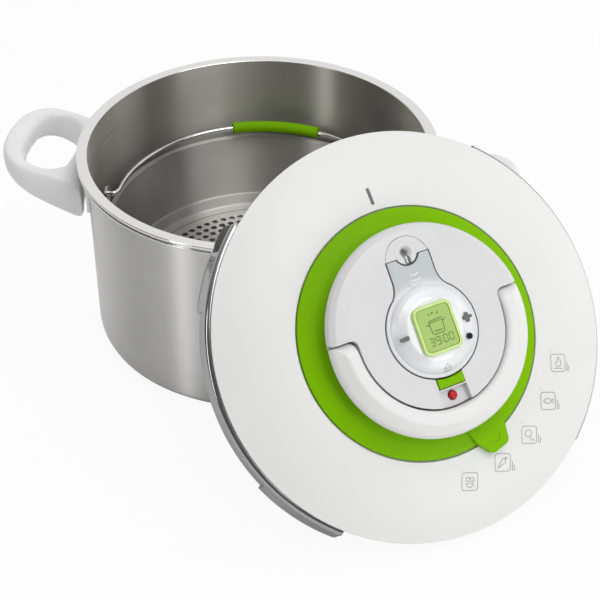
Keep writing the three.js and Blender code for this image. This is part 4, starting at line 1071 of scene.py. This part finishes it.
    @staticmethod
    def flame(size: float) -> list[list[Pair]]:
        """Strokes of a flame over a bar."""
        tongue = [(0.0, 1.0), (0.45, 0.35), (0.55, -0.2), (0.25, -0.6), (-0.3, -0.6), (-0.55, -0.15), (-0.3, 0.2)]
        tongue += [(-0.1, 0.05), (-0.15, 0.5), (0.0, 1.0)]
        return [[(x * size, y * size) for x, y in tongue], [(-0.8 * size, -0.9 * size), (0.8 * size, -0.9 * size)]]

    @staticmethod
    def fish(size: float) -> list[list[Pair]]:
        """Strokes of a fish."""
        body = arc(-0.1 * size, -0.55 * size, 0.95 * size, 145, 35, 10)
        belly = arc(-0.1 * size, 0.55 * size, 0.95 * size, -35, -145, 10)
        tail = [(0.68 * size, 0.0), (0.98 * size, 0.42 * size), (0.98 * size, -0.42 * size), (0.68 * size, 0.0)]
        return [body + belly, tail, [(-0.5 * size, 0.12 * size), (-0.42 * size, 0.12 * size)]]

    @staticmethod
    def drumstick(size: float) -> list[list[Pair]]:
        """Strokes of a drumstick."""
        meat = arc(-0.2 * size, 0.22 * size, 0.58 * size, -60, 240, 16)
        bone = [(-0.02 * size, -0.3 * size), (0.5 * size, -0.8 * size), (0.75 * size, -0.65 * size)]
        bone += [(0.85 * size, -0.85 * size), (0.65 * size, -0.95 * size)]
        return [meat + meat[:1], bone]

    @staticmethod
    def carrot(size: float) -> list[list[Pair]]:
        """Strokes of a carrot."""
        root = [(-0.85, -0.85), (-0.1, 0.55), (0.25, 0.62), (0.55, 0.3), (0.48, -0.05), (-0.85, -0.85)]
        leaf_a = [(0.4, 0.45), (0.55, 0.95)]
        leaf_b = [(0.4, 0.45), (0.95, 0.75)]
        return [[(x * size, y * size) for x, y in line] for line in (root, leaf_a, leaf_b)]

    @staticmethod
    def steam(size: float) -> list[list[Pair]]:
        """Strokes of steam over a bowl."""
        cloud = arc(-0.35 * size, 0.35 * size, 0.35 * size, -40, 300, 12)
        other = arc(0.35 * size, 0.3 * size, 0.35 * size, -120, 220, 12)
        bowl = arc(0.0, -0.3 * size, 0.6 * size, 180, 360, 10)
        return [cloud, other, bowl + bowl[:1]]

    def jaw(self) -> Piece:
        """Turn the C-section band and its two claws, for 3 o'clock."""
        band = Workbench.turned_arc(
            [
                (133.1, -2.7, 3.6),
                (107.1, -2.7, 0.2),
                (107.1, -3.5, 0.2),
                (131.5, -3.5, 2.8),
                (131.5, -15.5, 0.6),
                (122.0, -15.5, 0.3),
                (122.0, -17.1, 0.3),
                (133.1, -17.1, 1.2),
            ],
            -49.5,
            49.5,
            72,
        )
        section = [(131.7, -8.0, 0.2), (131.7, -20.4, 0.4), (134.4, -20.4, 1.0), (134.4, -16.0, 4.0), (133.0, -8.0, 0.2)]
        claws = [Workbench.turned_arc(section, start, start + 24.5, 24) for start in (25.0, -49.5)]
        for claw in claws:
            Workbench.combine(band, claw, "UNION")
        return band


@dataclass
class Selector:
    """Green ring with its pointer."""

    finishes: Finishes
    place: Matrix
    inner: float = 60.96
    outer: float = 79.3
    bottom: float = 8.5
    rise: float = 11.2
    pointer_angle: float = 163.5

    def build(self) -> None:
        """Make the ring and the line on its pointer."""
        finish = self.finishes.green
        Workbench.install(
            self.ring(), "selector_band", "selector", finish, "green_plastic", self.place, ["selector_ring"]
        )

    def ring(self) -> Piece:
        """Turn the ring and join the pointer to it."""
        ring = Workbench.turned(
            [
                (self.inner, self.bottom, 0.2),
                (self.outer, self.bottom, 0.2),
                (self.outer, self.rise + 0.5, 0.8),
                (self.inner + 8.0, self.rise + 3.7, 8.0),
                (self.inner + 0.9, self.rise + 4.4, 1.0),
                (self.inner, self.rise + 3.5, 0.4),
            ]
        )
        base, top = self.rise + 0.5, self.rise + 5.1
        shield = rounded(
            [
                (-13.4, 64.5, 0.5),
                (13.4, 64.5, 0.5),
                (11.6, 77.0, 8.0),
                (6.8, 88.4, 4.5),
                (-6.8, 88.4, 4.5),
                (-11.6, 77.0, 8.0),
            ],
            True,
            6,
        )
        pointer = Workbench.prism(shield, base, top)
        Workbench.bevel_edges(pointer, 1.4, lambda a, b: min(a.z, b.z) > top - 0.01, 4)
        groove_path = [Vector((x, y, top + 0.1)) for x, y in arc(0.0, 78.6, 4.6, 15.0, 165.0, 20)]
        Workbench.combine(pointer, Workbench.wires([groove_path], 0.45))
        Workbench.move(pointer, Matrix.Rotation(-math.radians(self.pointer_angle), 4, "Z"))
        return Workbench.combine(ring, pointer, "UNION")


@dataclass
class Timer:
    """Silver timer with its display, keys and printed signs."""

    finishes: Finishes
    place: Matrix
    radius: float = 29.9
    neck: float = 14.4
    neck_top: float = 46.5
    bottom: float = 26.0
    top: float = 34.0
    dome_top: float = 39.6
    gap: float = 0.9
    valve_place: float = 49.6
    valve_radius: float = 7.4

    def build(self) -> None:
        """Make the timer's pieces."""
        f = self.finishes

        def add(piece: Piece, name: str, body: str, finish: bpy.types.Material, slot: str, *nodes: str) -> None:
            """Install one piece of the timer."""
            Workbench.install(piece, name, body, finish, slot, self.place, nodes)

        add(self.case(), "timer_shell", "timer", f.silver, "silver_plastic", "timer_case")
        add(self.bezel(), "display_frame", "timer", f.green_clear, "green_plastic", "display_bezel")
        add(self.lens(), "display_window", "timer", f.display, "display", "display_lens")
        add(self.figures(), "display_figures", "timer", f.segments, "display")
        add(self.key(True), "plus_button", "plus", f.key_grey, "grey_plastic", "plus_key")
        add(self.key(False), "minus_button", "minus", f.key_grey, "grey_plastic", "minus_key")
        add(self.status(), "status_dot", "timer", f.black, "black_plastic", "status_lens")
        add(self.grip_lines(), "timer_grip_lines", "timer", f.grip_line_highlight, "silver_plastic")
        add(self.eject_sign(), "eject_sign", "timer", f.ink, "grey_plastic")

    def teardrop(self, margin: float, top: float) -> list[Pair]:
        """Outline of the timer, grown by a margin, with its neck ending at a height."""
        radius, half = self.radius + margin, self.neck + margin
        shoulder = 47.0
        joint = Vector(arc(0, 0, radius, shoulder, shoulder, 1)[0])
        start = Vector((half, self.radius + self.neck / 3.0))
        pull = Vector((half, self.radius - self.neck / 4.0))
        flank = []
        for i in range(13):
            t = i / 12
            spot = start * (1 - t) ** 2 + pull * 2 * t * (1 - t) + joint * t**2
            flank.append((spot.x, spot.y))
        right = [(half, top), *flank]
        left = [(-x, y) for x, y in reversed(right)]
        return right + arc(0, 0, radius, shoulder, -180.0 - shoulder, 90)[1:-1] + left

    def case(self) -> Piece:
        """Extrude the teardrop, raise the mound under the display and cut the notch for the valve."""
        body = Workbench.prism(self.teardrop(0.0, self.neck_top), self.bottom, self.top)
        notch = Workbench.rod(
            self.valve_radius + 1.2,
            Vector((0, self.valve_place, 0)),
            Vector((0, self.valve_place, 60)),
            Facets.SMALL,
        )
        Workbench.combine(body, notch)
        Workbench.bevel_edges(body, 0.5, lambda a, b: min(a.z, b.z) > self.top - 0.01, 3)
        mound = Workbench.turned(
            [
                (0.0, self.bottom + 2.0, 0.0),
                (self.mound()[0][0], self.bottom + 2.0, 0.0),
                *[(radius, height, 6.0) for radius, height in self.mound()],
                (0.0, self.dome_top, 0.0),
            ],
            Facets.MEDIUM,
        )
        Workbench.combine(body, mound, "UNION")
        for cross, x in ((True, 21.8), (False, -21.8)):
            well = Workbench.prism([(px + x, py) for px, py in self.key_outline(cross, 0.3)], 37.0, 60.0)
            Workbench.combine(body, well)
        dot = Workbench.rod(2.1, Vector((19.3, -11.4, 38.2)), Vector((19.3, -11.4, 60.0)))
        return Workbench.combine(body, dot)

    def bezel(self) -> Piece:
        """Extrude the display's frame, soften it and sink the window into it."""
        bottom, top = self.dome_top + 0.3, self.dome_top + 2.5
        frame = Workbench.prism(box_outline(26.6, 30.6, 5.5), bottom, top)
        Workbench.bevel_edges(frame, 0.9, lambda a, b: min(a.z, b.z) > top - 0.01, 4)
        return Workbench.combine(frame, Workbench.prism(box_outline(22.8, 26.8, 3.6), top - 1.4, top + 1.0))

    def lens(self) -> Piece:
        """Make the window as a thin cushion."""
        bottom, top = self.dome_top + 1.3, self.dome_top + 2.2
        pane = Workbench.prism(box_outline(22.2, 26.2, 3.3), bottom, top)
        return Workbench.bevel_edges(pane, 0.3, lambda a, b: min(a.z, b.z) > top - 0.01, 2)

    def figures(self) -> Piece:
        """Draw the remaining time and a pot on the display."""
        level = self.dome_top + 2.22
        paths: list[list[Pair]] = []
        for x, digit in ((-7.6, "3"), (-3.5, "9"), (1.5, "0"), (5.6, "0")):
            paths += self.digit_strokes(digit, x, -9.6, 2.6, 4.6)
        paths += [[(0.15, -8.7), (0.15, -8.5)], [(0.15, -6.5), (0.15, -6.3)]]
        paths += [
            [(-4.6, 4.2), (-4.2, -2.2), (-3.2, -3.2), (3.2, -3.2), (4.2, -2.2), (4.6, 4.2), (-4.6, 4.2)],
            [(-6.6, 3.0), (-4.6, 3.0)],
            [(6.6, 4.6), (4.7, 3.4)],
            [(-4.9, 5.2), (4.9, 5.6)],
            [(-2.8, -1.4), (2.8, -1.4)],
            [(-3.0, 8.6), (-3.0, 9.8)],
            [(-1.0, 8.6), (-1.0, 9.8), (0.4, 9.8)],
            [(1.8, 8.6), (3.0, 8.6), (3.0, 9.8)],
        ]
        placed = [[Vector((x, y, level)) for x, y in path] for path in paths]
        return Workbench.wires(placed, 0.26, sides=1)

    @staticmethod
    def digit_strokes(digit: str, x: float, y: float, width: float, height: float) -> list[list[Pair]]:
        """Strokes of one seven-bar figure.

        Args:
            digit: The figure.
            x: Left edge.
            y: Lower edge.
            width: Width.
            height: Height.

        Returns:
            A short stroke for each lit bar.
        """
        middle, gap = height / 2.0, 0.3
        bars = {
            "a": [(gap, height), (width - gap, height)],
            "b": [(width, height - gap), (width, middle + gap)],
            "c": [(width, middle - gap), (width, gap)],
            "d": [(gap, 0.0), (width - gap, 0.0)],
            "e": [(0.0, gap), (0.0, middle - gap)],
            "f": [(0.0, middle + gap), (0.0, height - gap)],
            "g": [(gap, middle), (width - gap, middle)],
        }
        lit = {"0": "abcdef", "3": "abcdg", "9": "abcdfg"}[digit]
        return [[(x + u, y + v) for u, v in bars[bar]] for bar in lit]

    @staticmethod
    def key_outline(cross: bool, margin: float) -> list[Pair]:
        """Outline of the plus or minus key about its own middle."""
        length, width = 3.0 + margin, 1.05 + margin
        r = 0.5
        if not cross:
            return rounded(
                [(-length, -width, r), (length, -width, r), (length, width, r), (-length, width, r)], True, 4
            )
        quarter = [(length, -width, r), (length, width, r), (width, width, 0.2)]
        corners: list[Corner] = []
        for turn in range(4):
            c, s = round(math.cos(turn * math.pi / 2)), round(math.sin(turn * math.pi / 2))
            corners += [(x * c - y * s, x * s + y * c, radius) for x, y, radius in quarter]
        return rounded(corners, True, 3)

    def key(self, cross: bool) -> Piece:
        """Extrude one key and soften its top."""
        x = 21.8 if cross else -21.8
        bottom, top = 38.8, 40.0
        key = Workbench.prism([(px + x, py) for px, py in self.key_outline(cross, 0.0)], bottom, top)
        return Workbench.bevel_edges(key, 0.25, lambda a, b: min(a.z, b.z) > top - 0.01, 2)

    def status(self) -> Piece:
        """Turn the small domed lens."""
        lens = Workbench.turned(
            [(0.0, 38.5, 0.0), (2.0, 38.5, 0.0), (2.0, 39.7, 0.5), (0.0, 40.0, 0.0)], Facets.TINY
        )
        return Workbench.move(lens, Matrix.Translation((19.3, -11.4, 0.0)))

    def grip_lines(self) -> Piece:
        """Raise three short arcs on the neck; their pale colour is a painted highlight on the ridges."""
        paths = []
        for y, half in ((36.8, 22.0), (33.4, 28.0), (30.0, 37.0)):
            path = arc(0.0, y + 7.0, 9.0, -90.0 - half, -90.0 + half, 14)
            paths.append([Vector((x, v, self.top + 0.1)) for x, v in path])
        return Workbench.wires(paths, 0.5)

    def eject_sign(self) -> Piece:
        """Draw the triangle and bar that mark the release."""
        triangle = [(-2.6, -25.2), (2.6, -25.2), (0.0, -22.2), (-2.6, -25.2)]
        bar = [(-2.6, -26.6), (2.6, -26.6)]
        signs = [[Vector((x, y, self.mound_height(math.hypot(x, y)) + 0.1)) for x, y in path] for path in (triangle, bar)]
        return Workbench.wires(signs, 0.22, sides=1)

    def mound(self) -> list[Pair]:
        """Radius and height of the corners of the mound under the display, from its foot up."""
        return [(28.6, self.top - 0.3), (24.0, self.dome_top - 2.6), (18.5, self.dome_top)]

    def mound_height(self, radius: float) -> float:
        """Height of the mound at a radius."""
        for (outer, low), (inner, high) in zip(self.mound(), self.mound()[1:]):
            if inner <= radius <= outer:
                return low + (high - low) * (outer - radius) / (outer - inner)
        return self.dome_top if radius < self.mound()[-1][0] else self.top


@dataclass
class Hub:
    """White control hub with its folding handle, valve, indicator and release button."""

    finishes: Finishes
    place: Matrix
    timer: Timer
    seam: float = 48.46
    handle_inner: float = 49.46
    handle_outer: float = 66.96
    hinge: float = 26.0
    knuckle: float = 9.6
    knuckle_corner: float = 6.0
    knuckle_tip: float = 5.5
    hub_corner: float = 3.5
    play: float = 0.3
    top: float = 33.4

    def build(self) -> None:
        """Make the hub's pieces."""
        f = self.finishes

        def add(piece: Piece, name: str, body: str, finish: bpy.types.Material, slot: str, *nodes: str) -> None:
            """Install one piece of the hub."""
            Workbench.install(piece, name, body, finish, slot, self.place, nodes)

        add(self.housing(), "hub_housing", "lid", f.white_hub, "white_plastic", "control_hub")
        add(self.handle(), "folding_bow", "handle", f.white_gloss, "white_plastic", "fold_handle")
        add(self.valve(), "valve_knob", "valve", f.white_hub, "white_plastic", "operating_valve")
        add(self.shroud(), "valve_cover", "lid", f.white_hub, "white_plastic", "valve_shroud")
        add(self.button(), "timer_release", "release", f.green, "green_plastic", "release_button")
        add(self.indicator(), "pressure_pin", "indicator", f.red, "red_plastic", "pressure_indicator")

    def housing(self) -> Piece:
        """Turn the hub and cut its trough, pockets and bores."""
        body = Workbench.turned(
            [
                (0.0, -20.0, 0.0),
                (8.0, -20.0, 0.5),
                (8.0, -10.5, 0.0),
                (14.0, -10.5, 0.0),
                (14.0, 0.3, 0.0),
                (57.46, 0.3, 0.0),
                (57.46, 8.5, 0.0),
                (59.96, 8.5, 0.3),
                (59.96, 16.2, 2.0),
                (65.4, 23.6, 4.0),
                (66.96, 27.0, 2.0),
                (65.8, 30.4, 3.0),
                (62.4, 32.8, 4.0),
                (54.0, self.top + 0.2, 6.0),
                (0.0, self.top + 0.2, 0.0),
            ]
        )
        trough = [(self.seam, 19.5, 1.0), (95.0, 19.5, 0.0), (95.0, 80.0, 0.0), (self.seam, 80.0, 0.0)]
        Workbench.combine(body, Workbench.turned_arc(trough, 180.0, 360.0, 96))
        swing, corner = self.knuckle + self.play, self.knuckle_corner + self.play
        sink, margin = 0.4, 0.05
        for side in (1.0, -1.0):
            Workbench.combine(body, self.hinge_pin(side, swing, self.handle_inner - self.play, 90.0, corner, 0.0))
            pocket = [(side * x, y) for x, y in self.pocket(swing - margin, corner)]
            Workbench.combine(body, Workbench.prism(pocket, self.hinge - sink, 60.0))
        outline = self.timer.teardrop(self.timer.gap, self.timer.neck_top + 0.5)
        Workbench.combine(body, Workbench.prism(outline, 25.7, 60.0))
        Workbench.combine(body, Workbench.prism(self.neck_end(0.3), 30.1, 60.0))
        valve = Vector((0, self.timer.valve_place, 0))
        Workbench.combine(body, Workbench.rod(7.9, valve + Vector((0, 0, 25.7)), valve + Vector((0, 0, 60)), Facets.SMALL))
        Workbench.combine(body, Workbench.prism(self.button_outline(0.5), 17.0, 60.0))
        channel = [(-9.5, -37.4), (9.5, -37.4), (10.6, -60.0), (-10.6, -60.0)]
        Workbench.combine(body, Workbench.prism(channel, 29.0, 60.0))
        pin = Vector((0, -42.0, 0))
        Workbench.combine(body, Workbench.rod(3.2, pin + Vector((0, 0, 24.0)), pin + Vector((0, 0, 60)), Facets.TINY))
        return Workbench.soften(body, 0.45, 32.0, 2)

    def pocket(self, swing: float, corner: float) -> list[Pair]:
        """Outline of the hub's pocket for the handle's end at 3 o'clock, flared where it leaves the hub."""
        inner, far, flare = self.seam + 0.5 * self.play, 91.0, self.hub_corner
        middle = Vector((math.sqrt((self.handle_outer - flare) ** 2 - (swing + flare) ** 2), swing + flare))
        leave = middle * (far / middle.length)
        slant = math.degrees(math.atan2(middle.y, middle.x))
        edge = arc(middle.x, middle.y, flare, slant, -90.0, 10)
        back = rounded([(middle.x, swing, 0.0), (inner, swing, corner), (inner, -self.play, 0.0)], False, 8)
        return [*back, (far, -self.play), (leave.x, leave.y), *edge[:-1]]

    def hinge_pin(self, side: float, radius: float, start: float, stop: float, corner: float, tip: float) -> Piece:
        """Turn a rod about the hinge, rounded at its ends.

        Args:
            side: 1 for 3 o'clock, -1 for 9 o'clock.
            radius: Radius of the rod.
            start: Its inner end, from the middle of the lid.
            stop: Its outer end.
            corner: Rounding of the inner end.
            tip: Rounding of the outer end.

        Returns:
            The rod.
        """
        profile = [(0.0, start, 0.0), (radius, start, corner), (radius, stop, tip), (0.0, stop, 0.0)]
        turn = Matrix.Rotation(side * math.pi / 2.0, 4, "Y")
        return Workbench.move(Workbench.turned(profile, Facets.SMALL), Matrix.Translation((0, 0, self.hinge)) @ turn)

    def neck_end(self, margin: float) -> list[Pair]:
        """Round end of the teardrop beyond the timer."""
        return arc(0.0, 44.8, self.timer.neck + margin, 0.0, 360.0, 64)[:-1]

    @staticmethod
    def button_outline(margin: float) -> list[Pair]:
        """Outline of the release button: square outside and hollowed to the timer inside."""
        half, outer, inner = 8.8 + margin, 36.1 + margin, 30.9 - 4.0 * margin
        reach = math.degrees(math.asin(half / inner))
        return [(-half, -outer), (half, -outer), *arc(0.0, 0.0, inner, reach - 90.0, -reach - 90.0, 16)]

    def handle(self) -> Piece:
        """Turn the half ring and join its knuckles."""
        top, bottom = self.hinge + self.knuckle, self.hinge - self.knuckle
        flank = [
            (self.handle_outer, 27.0, 5.0),
            (self.handle_outer - 2.25, 31.5, 6.0),
            (self.handle_inner + 8.5, top, 5.0),
        ]
        bar = Workbench.turned_arc(
            [
                (self.handle_inner, 20.0, 2.0),
                (self.handle_outer - 4.5, 20.0, 3.0),
                *flank,
                (self.handle_inner, top, self.knuckle_corner - 0.5),
            ],
            180.0,
            360.0,
            120,
        )
        for side in (1.0, -1.0):
            reach = self.handle_outer + 0.5
            ends = self.knuckle_corner, self.knuckle_tip
            knuckle = self.hinge_pin(side, self.knuckle, self.handle_inner, reach, *ends)
            shell = Workbench.turned([(0.0, bottom, 0.0), (self.handle_outer - 7.0, bottom, 1.0), *flank, (0.0, top, 0.0)])
            Workbench.combine(knuckle, shell, "INTERSECT")
            Workbench.combine(bar, knuckle, "UNION")
        return Workbench.soften(bar, 0.7, 50.0, 3)

    def valve(self) -> Piece:
        """Turn the valve knob with its flared bore and split its front into two prongs round a post."""
        top = self.top
        knob = Workbench.turned(
            [(2.4, 26.0, 0.3), (7.4, 26.0, 0.3), (7.4, top, 0.0), (4.0, top, 1.6), (2.4, top - 2.6, 1.0)], Facets.SMALL
        )
        mouth = [(-2.1, -12.0), (2.1, -12.0), (2.1, -3.6), (1.4, -1.6), (-1.4, -1.6), (-2.1, -3.6)]
        Workbench.combine(knob, Workbench.prism(mouth, top - 5.0, 60.0))
        post = Workbench.prism(box_outline(1.3, 4.4, 0.5), 26.0, top - 1.2)
        Workbench.move(post, Matrix.Translation((0.0, -4.6, 0.0)))
        knob = Workbench.merge([knob, Workbench.soften(post, 0.3, 60.0, 2)])
        return Workbench.move(knob, Matrix.Translation((0.0, self.timer.valve_place, 0.0)))

    def shroud(self) -> Piece:
        """Make the plate round the valve."""
        plate = Workbench.prism(self.neck_end(0.0), self.top - 3.0, self.top)
        timer_side = [(-30.0, 0.0), (30.0, 0.0), (30.0, 47.0), (-30.0, 47.0)]
        Workbench.combine(plate, Workbench.prism(timer_side, 0.0, 60.0))
        valve = Vector((0, self.timer.valve_place, 0))
        Workbench.combine(plate, Workbench.rod(7.45, valve, valve + Vector((0, 0, 60)), Facets.SMALL))
        return plate

    def button(self) -> Piece:
        """Extrude the release button and round its top."""
        bottom = self.top + 1.4 - 8.5
        top = bottom + 8.5
        button = Workbench.prism(self.button_outline(0.0), bottom, top)
        return Workbench.bevel_edges(button, 1.2, lambda a, b: min(a.z, b.z) > top - 0.01, 4)

    def indicator(self) -> Piece:
        """Turn the pressure pin with its domed head."""
        floor = self.top - 4.4
        pin = Workbench.turned(
            [
                (0.0, -18.1, 0.0),
                (2.8, -18.1, 0.2),
                (2.8, -16.5, 0.2),
                (1.8, -16.5, 0.0),
                (1.8, floor - 3.7, 0.0),
                (2.7, floor - 3.7, 0.2),
                (2.7, floor + 2.1, 1.6),
                (0.0, floor + 2.4, 0.0),
            ],
            Facets.SMALL,
        )
        return Workbench.move(pin, Matrix.Translation((0.0, -42.0, 0.0)))


@dataclass
class Hidden:
    """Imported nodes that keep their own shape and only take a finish."""

    finishes: Finishes

    def dress(self, nodes: dict[str, Piece]) -> None:
        """Give each kept node its finish.

        Args:
            nodes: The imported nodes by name.
        """
        f = self.finishes
        finishes = {
            "base_core": f.core,
            "right_grip_bracket": f.bright,
            "right_grip_screw": f.bright,
            "left_grip_bracket": f.bright,
            "left_grip_screw": f.bright,
            "trivet": f.basket,
            "bail_lug_right": f.bright,
            "bail_lug_left": f.bright,
            "module_nut": f.key_grey,
            "jaw_arm_right": f.bright,
            "jaw_arm_left": f.bright,
            "jaw_barrel_right": f.key_grey,
            "jaw_barrel_left": f.key_grey,
            "handle_pin_right": f.bright,
            "handle_pin_left": f.bright,
            "valve_pipe": f.bright,
            "safety_valve": f.bright,
            "release_spring": f.bright,
        }
        for name, finish in finishes.items():
            node = nodes[name]
            node.data.materials.clear()
            node.data.materials.append(finish)
            LOG.info("%s keeps its packed shape", name)


@dataclass
class Studio:
    """Floor, soft lamps, world and the camera of the photograph."""

    camera_place: Vector = Vector((0.1253, -0.8916, 0.7117))
    camera_forward: Vector = Vector((-0.0845, 0.7837, -0.6154))
    lens: float = 92.13
    floor_size: float = 12.0
    white_to_eye: float = 0.93
    room: float = 0.2
    backdrop: float = 0.85
    overhead: float = 0.6

    def build(self) -> None:
        """Make everything that isn't the cooker."""
        self.floor()
        self.world()
        self.lamp("key", Vector((0.75, -0.65, 2.1)), (1.3, 1.3), 16.0)
        self.lamp("side", Vector((1.9, 0.5, 0.7)), (0.9, 0.9), 2.5)
        self.lamp("low", Vector((1.5, -1.3, 0.35)), (0.9, 0.6), 7.0)
        self.lamp("window", Vector((1.41, -1.15, 1.25)), (1.4, 0.5), 4.5)
        self.lamp("strip", Vector((-1.3, -1.52, 1.1)), (0.3, 1.4), 5.5)
        self.camera()
        scene = bpy.context.scene
        scene.view_settings.view_transform = "Standard"

    def floor(self) -> None:
        """Lay a pale floor that is white to the eye and still takes a soft shadow."""
        Workbench.clear()
        bpy.ops.mesh.primitive_plane_add(size=self.floor_size, location=(0.0, 0.0, -0.0002))
        floor = bpy.context.object
        floor.name = "studio_floor"
        sheet = Sheet("studio_white")
        shader = sheet.principled((0.86, 0.86, 0.86), 0.0, 0.6)
        glow = sheet.add("ShaderNodeEmission")
        mix = sheet.add("ShaderNodeMixShader")
        sheet.link(self.seen(sheet), mix.inputs["Fac"])
        sheet.link(shader.outputs["BSDF"], mix.inputs[1])
        sheet.link(glow.outputs["Emission"], mix.inputs[2])
        sheet.link(mix.outputs["Shader"], sheet.output.inputs["Surface"])
        floor.data.materials.append(sheet.material)

    def seen(self, sheet: Sheet) -> bpy.types.NodeSocket:
        """Share of plain white on the floor for a ray from the camera or through glass."""
        path = sheet.add("ShaderNodeLightPath")
        through = sheet.maths("MAXIMUM", path.outputs["Is Camera Ray"], path.outputs["Is Transmission Ray"])
        return sheet.maths("MULTIPLY", through, self.white_to_eye)

    def world(self) -> None:
        """Fill the room with pale light: a white backdrop behind, a pale ceiling and a dim front."""
        world = bpy.data.worlds.new("studio_room")
        bpy.context.scene.world = world
        world.use_nodes = True
        sheet = Sheet.of_world(world)
        parts = sheet.add("ShaderNodeSeparateXYZ")
        sheet.link(sheet.add("ShaderNodeTexCoord").outputs["Generated"], parts.inputs["Vector"])
        behind = sheet.ramp(parts.outputs["Y"], -0.2, 0.6, self.backdrop)
        above = sheet.ramp(parts.outputs["Z"], 0.7, 1.0, self.overhead)
        level = sheet.maths("ADD", sheet.maths("ADD", behind, above), self.room)
        eye = sheet.add("ShaderNodeLightPath").outputs["Is Camera Ray"]
        background = sheet.add("ShaderNodeBackground")
        sheet.link(sheet.maths("MAXIMUM", level, eye), background.inputs["Strength"])
        sheet.link(background.outputs["Background"], sheet.output.inputs["Surface"])

    @staticmethod
    def lamp(name: str, place: Vector, size: Pair, power: float) -> None:
        """Hang a soft lamp of a width and a height that points at the cooker."""
        light = bpy.data.lights.new(name, "AREA")
        light.shape = "RECTANGLE"
        light.size, light.size_y = size
        light.energy = power
        lamp = bpy.data.objects.new(name, light)
        bpy.context.scene.collection.objects.link(lamp)
        lamp.location = place
        lamp.rotation_euler = (Vector((0.05, -0.05, 0.08)) - place).to_track_quat("-Z", "Y").to_euler()

    def camera(self) -> None:
        """Set up the camera where the photograph was taken from."""
        data = bpy.data.cameras.new("photo_camera")
        data.lens = self.lens
        data.sensor_width = 36.0
        camera = bpy.data.objects.new("photo_camera", data)
        bpy.context.scene.collection.objects.link(camera)
        forward = self.camera_forward.normalized()
        right = forward.cross(Vector((0.0, 0.0, 1.0))).normalized()
        up = right.cross(forward)
        turn = Matrix((right, up, -forward)).transposed().to_4x4()
        camera.matrix_world = Matrix.Translation(self.camera_place) @ turn
        bpy.context.scene.camera = camera


def main() -> None:
    """Build the cooker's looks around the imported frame."""
    logging.basicConfig(level=logging.INFO, format="%(message)s")
    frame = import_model()
    lid = Stance().matrix()
    finishes = Finishes(lid @ Vector((0.0, 0.0, 38.0 * MM)))
    Studio().build()
    Pot(finishes).build()
    Basket(finishes).build()
    LidCover(finishes, lid).build()
    Selector(finishes, lid).build()
    timer = Timer(finishes, lid)
    timer.build()
    Hub(finishes, lid, timer).build()
    Hidden(finishes).dress(frame["nodes"])
    bpy.context.view_layer.update()


if __name__ == "__main__":
    main()
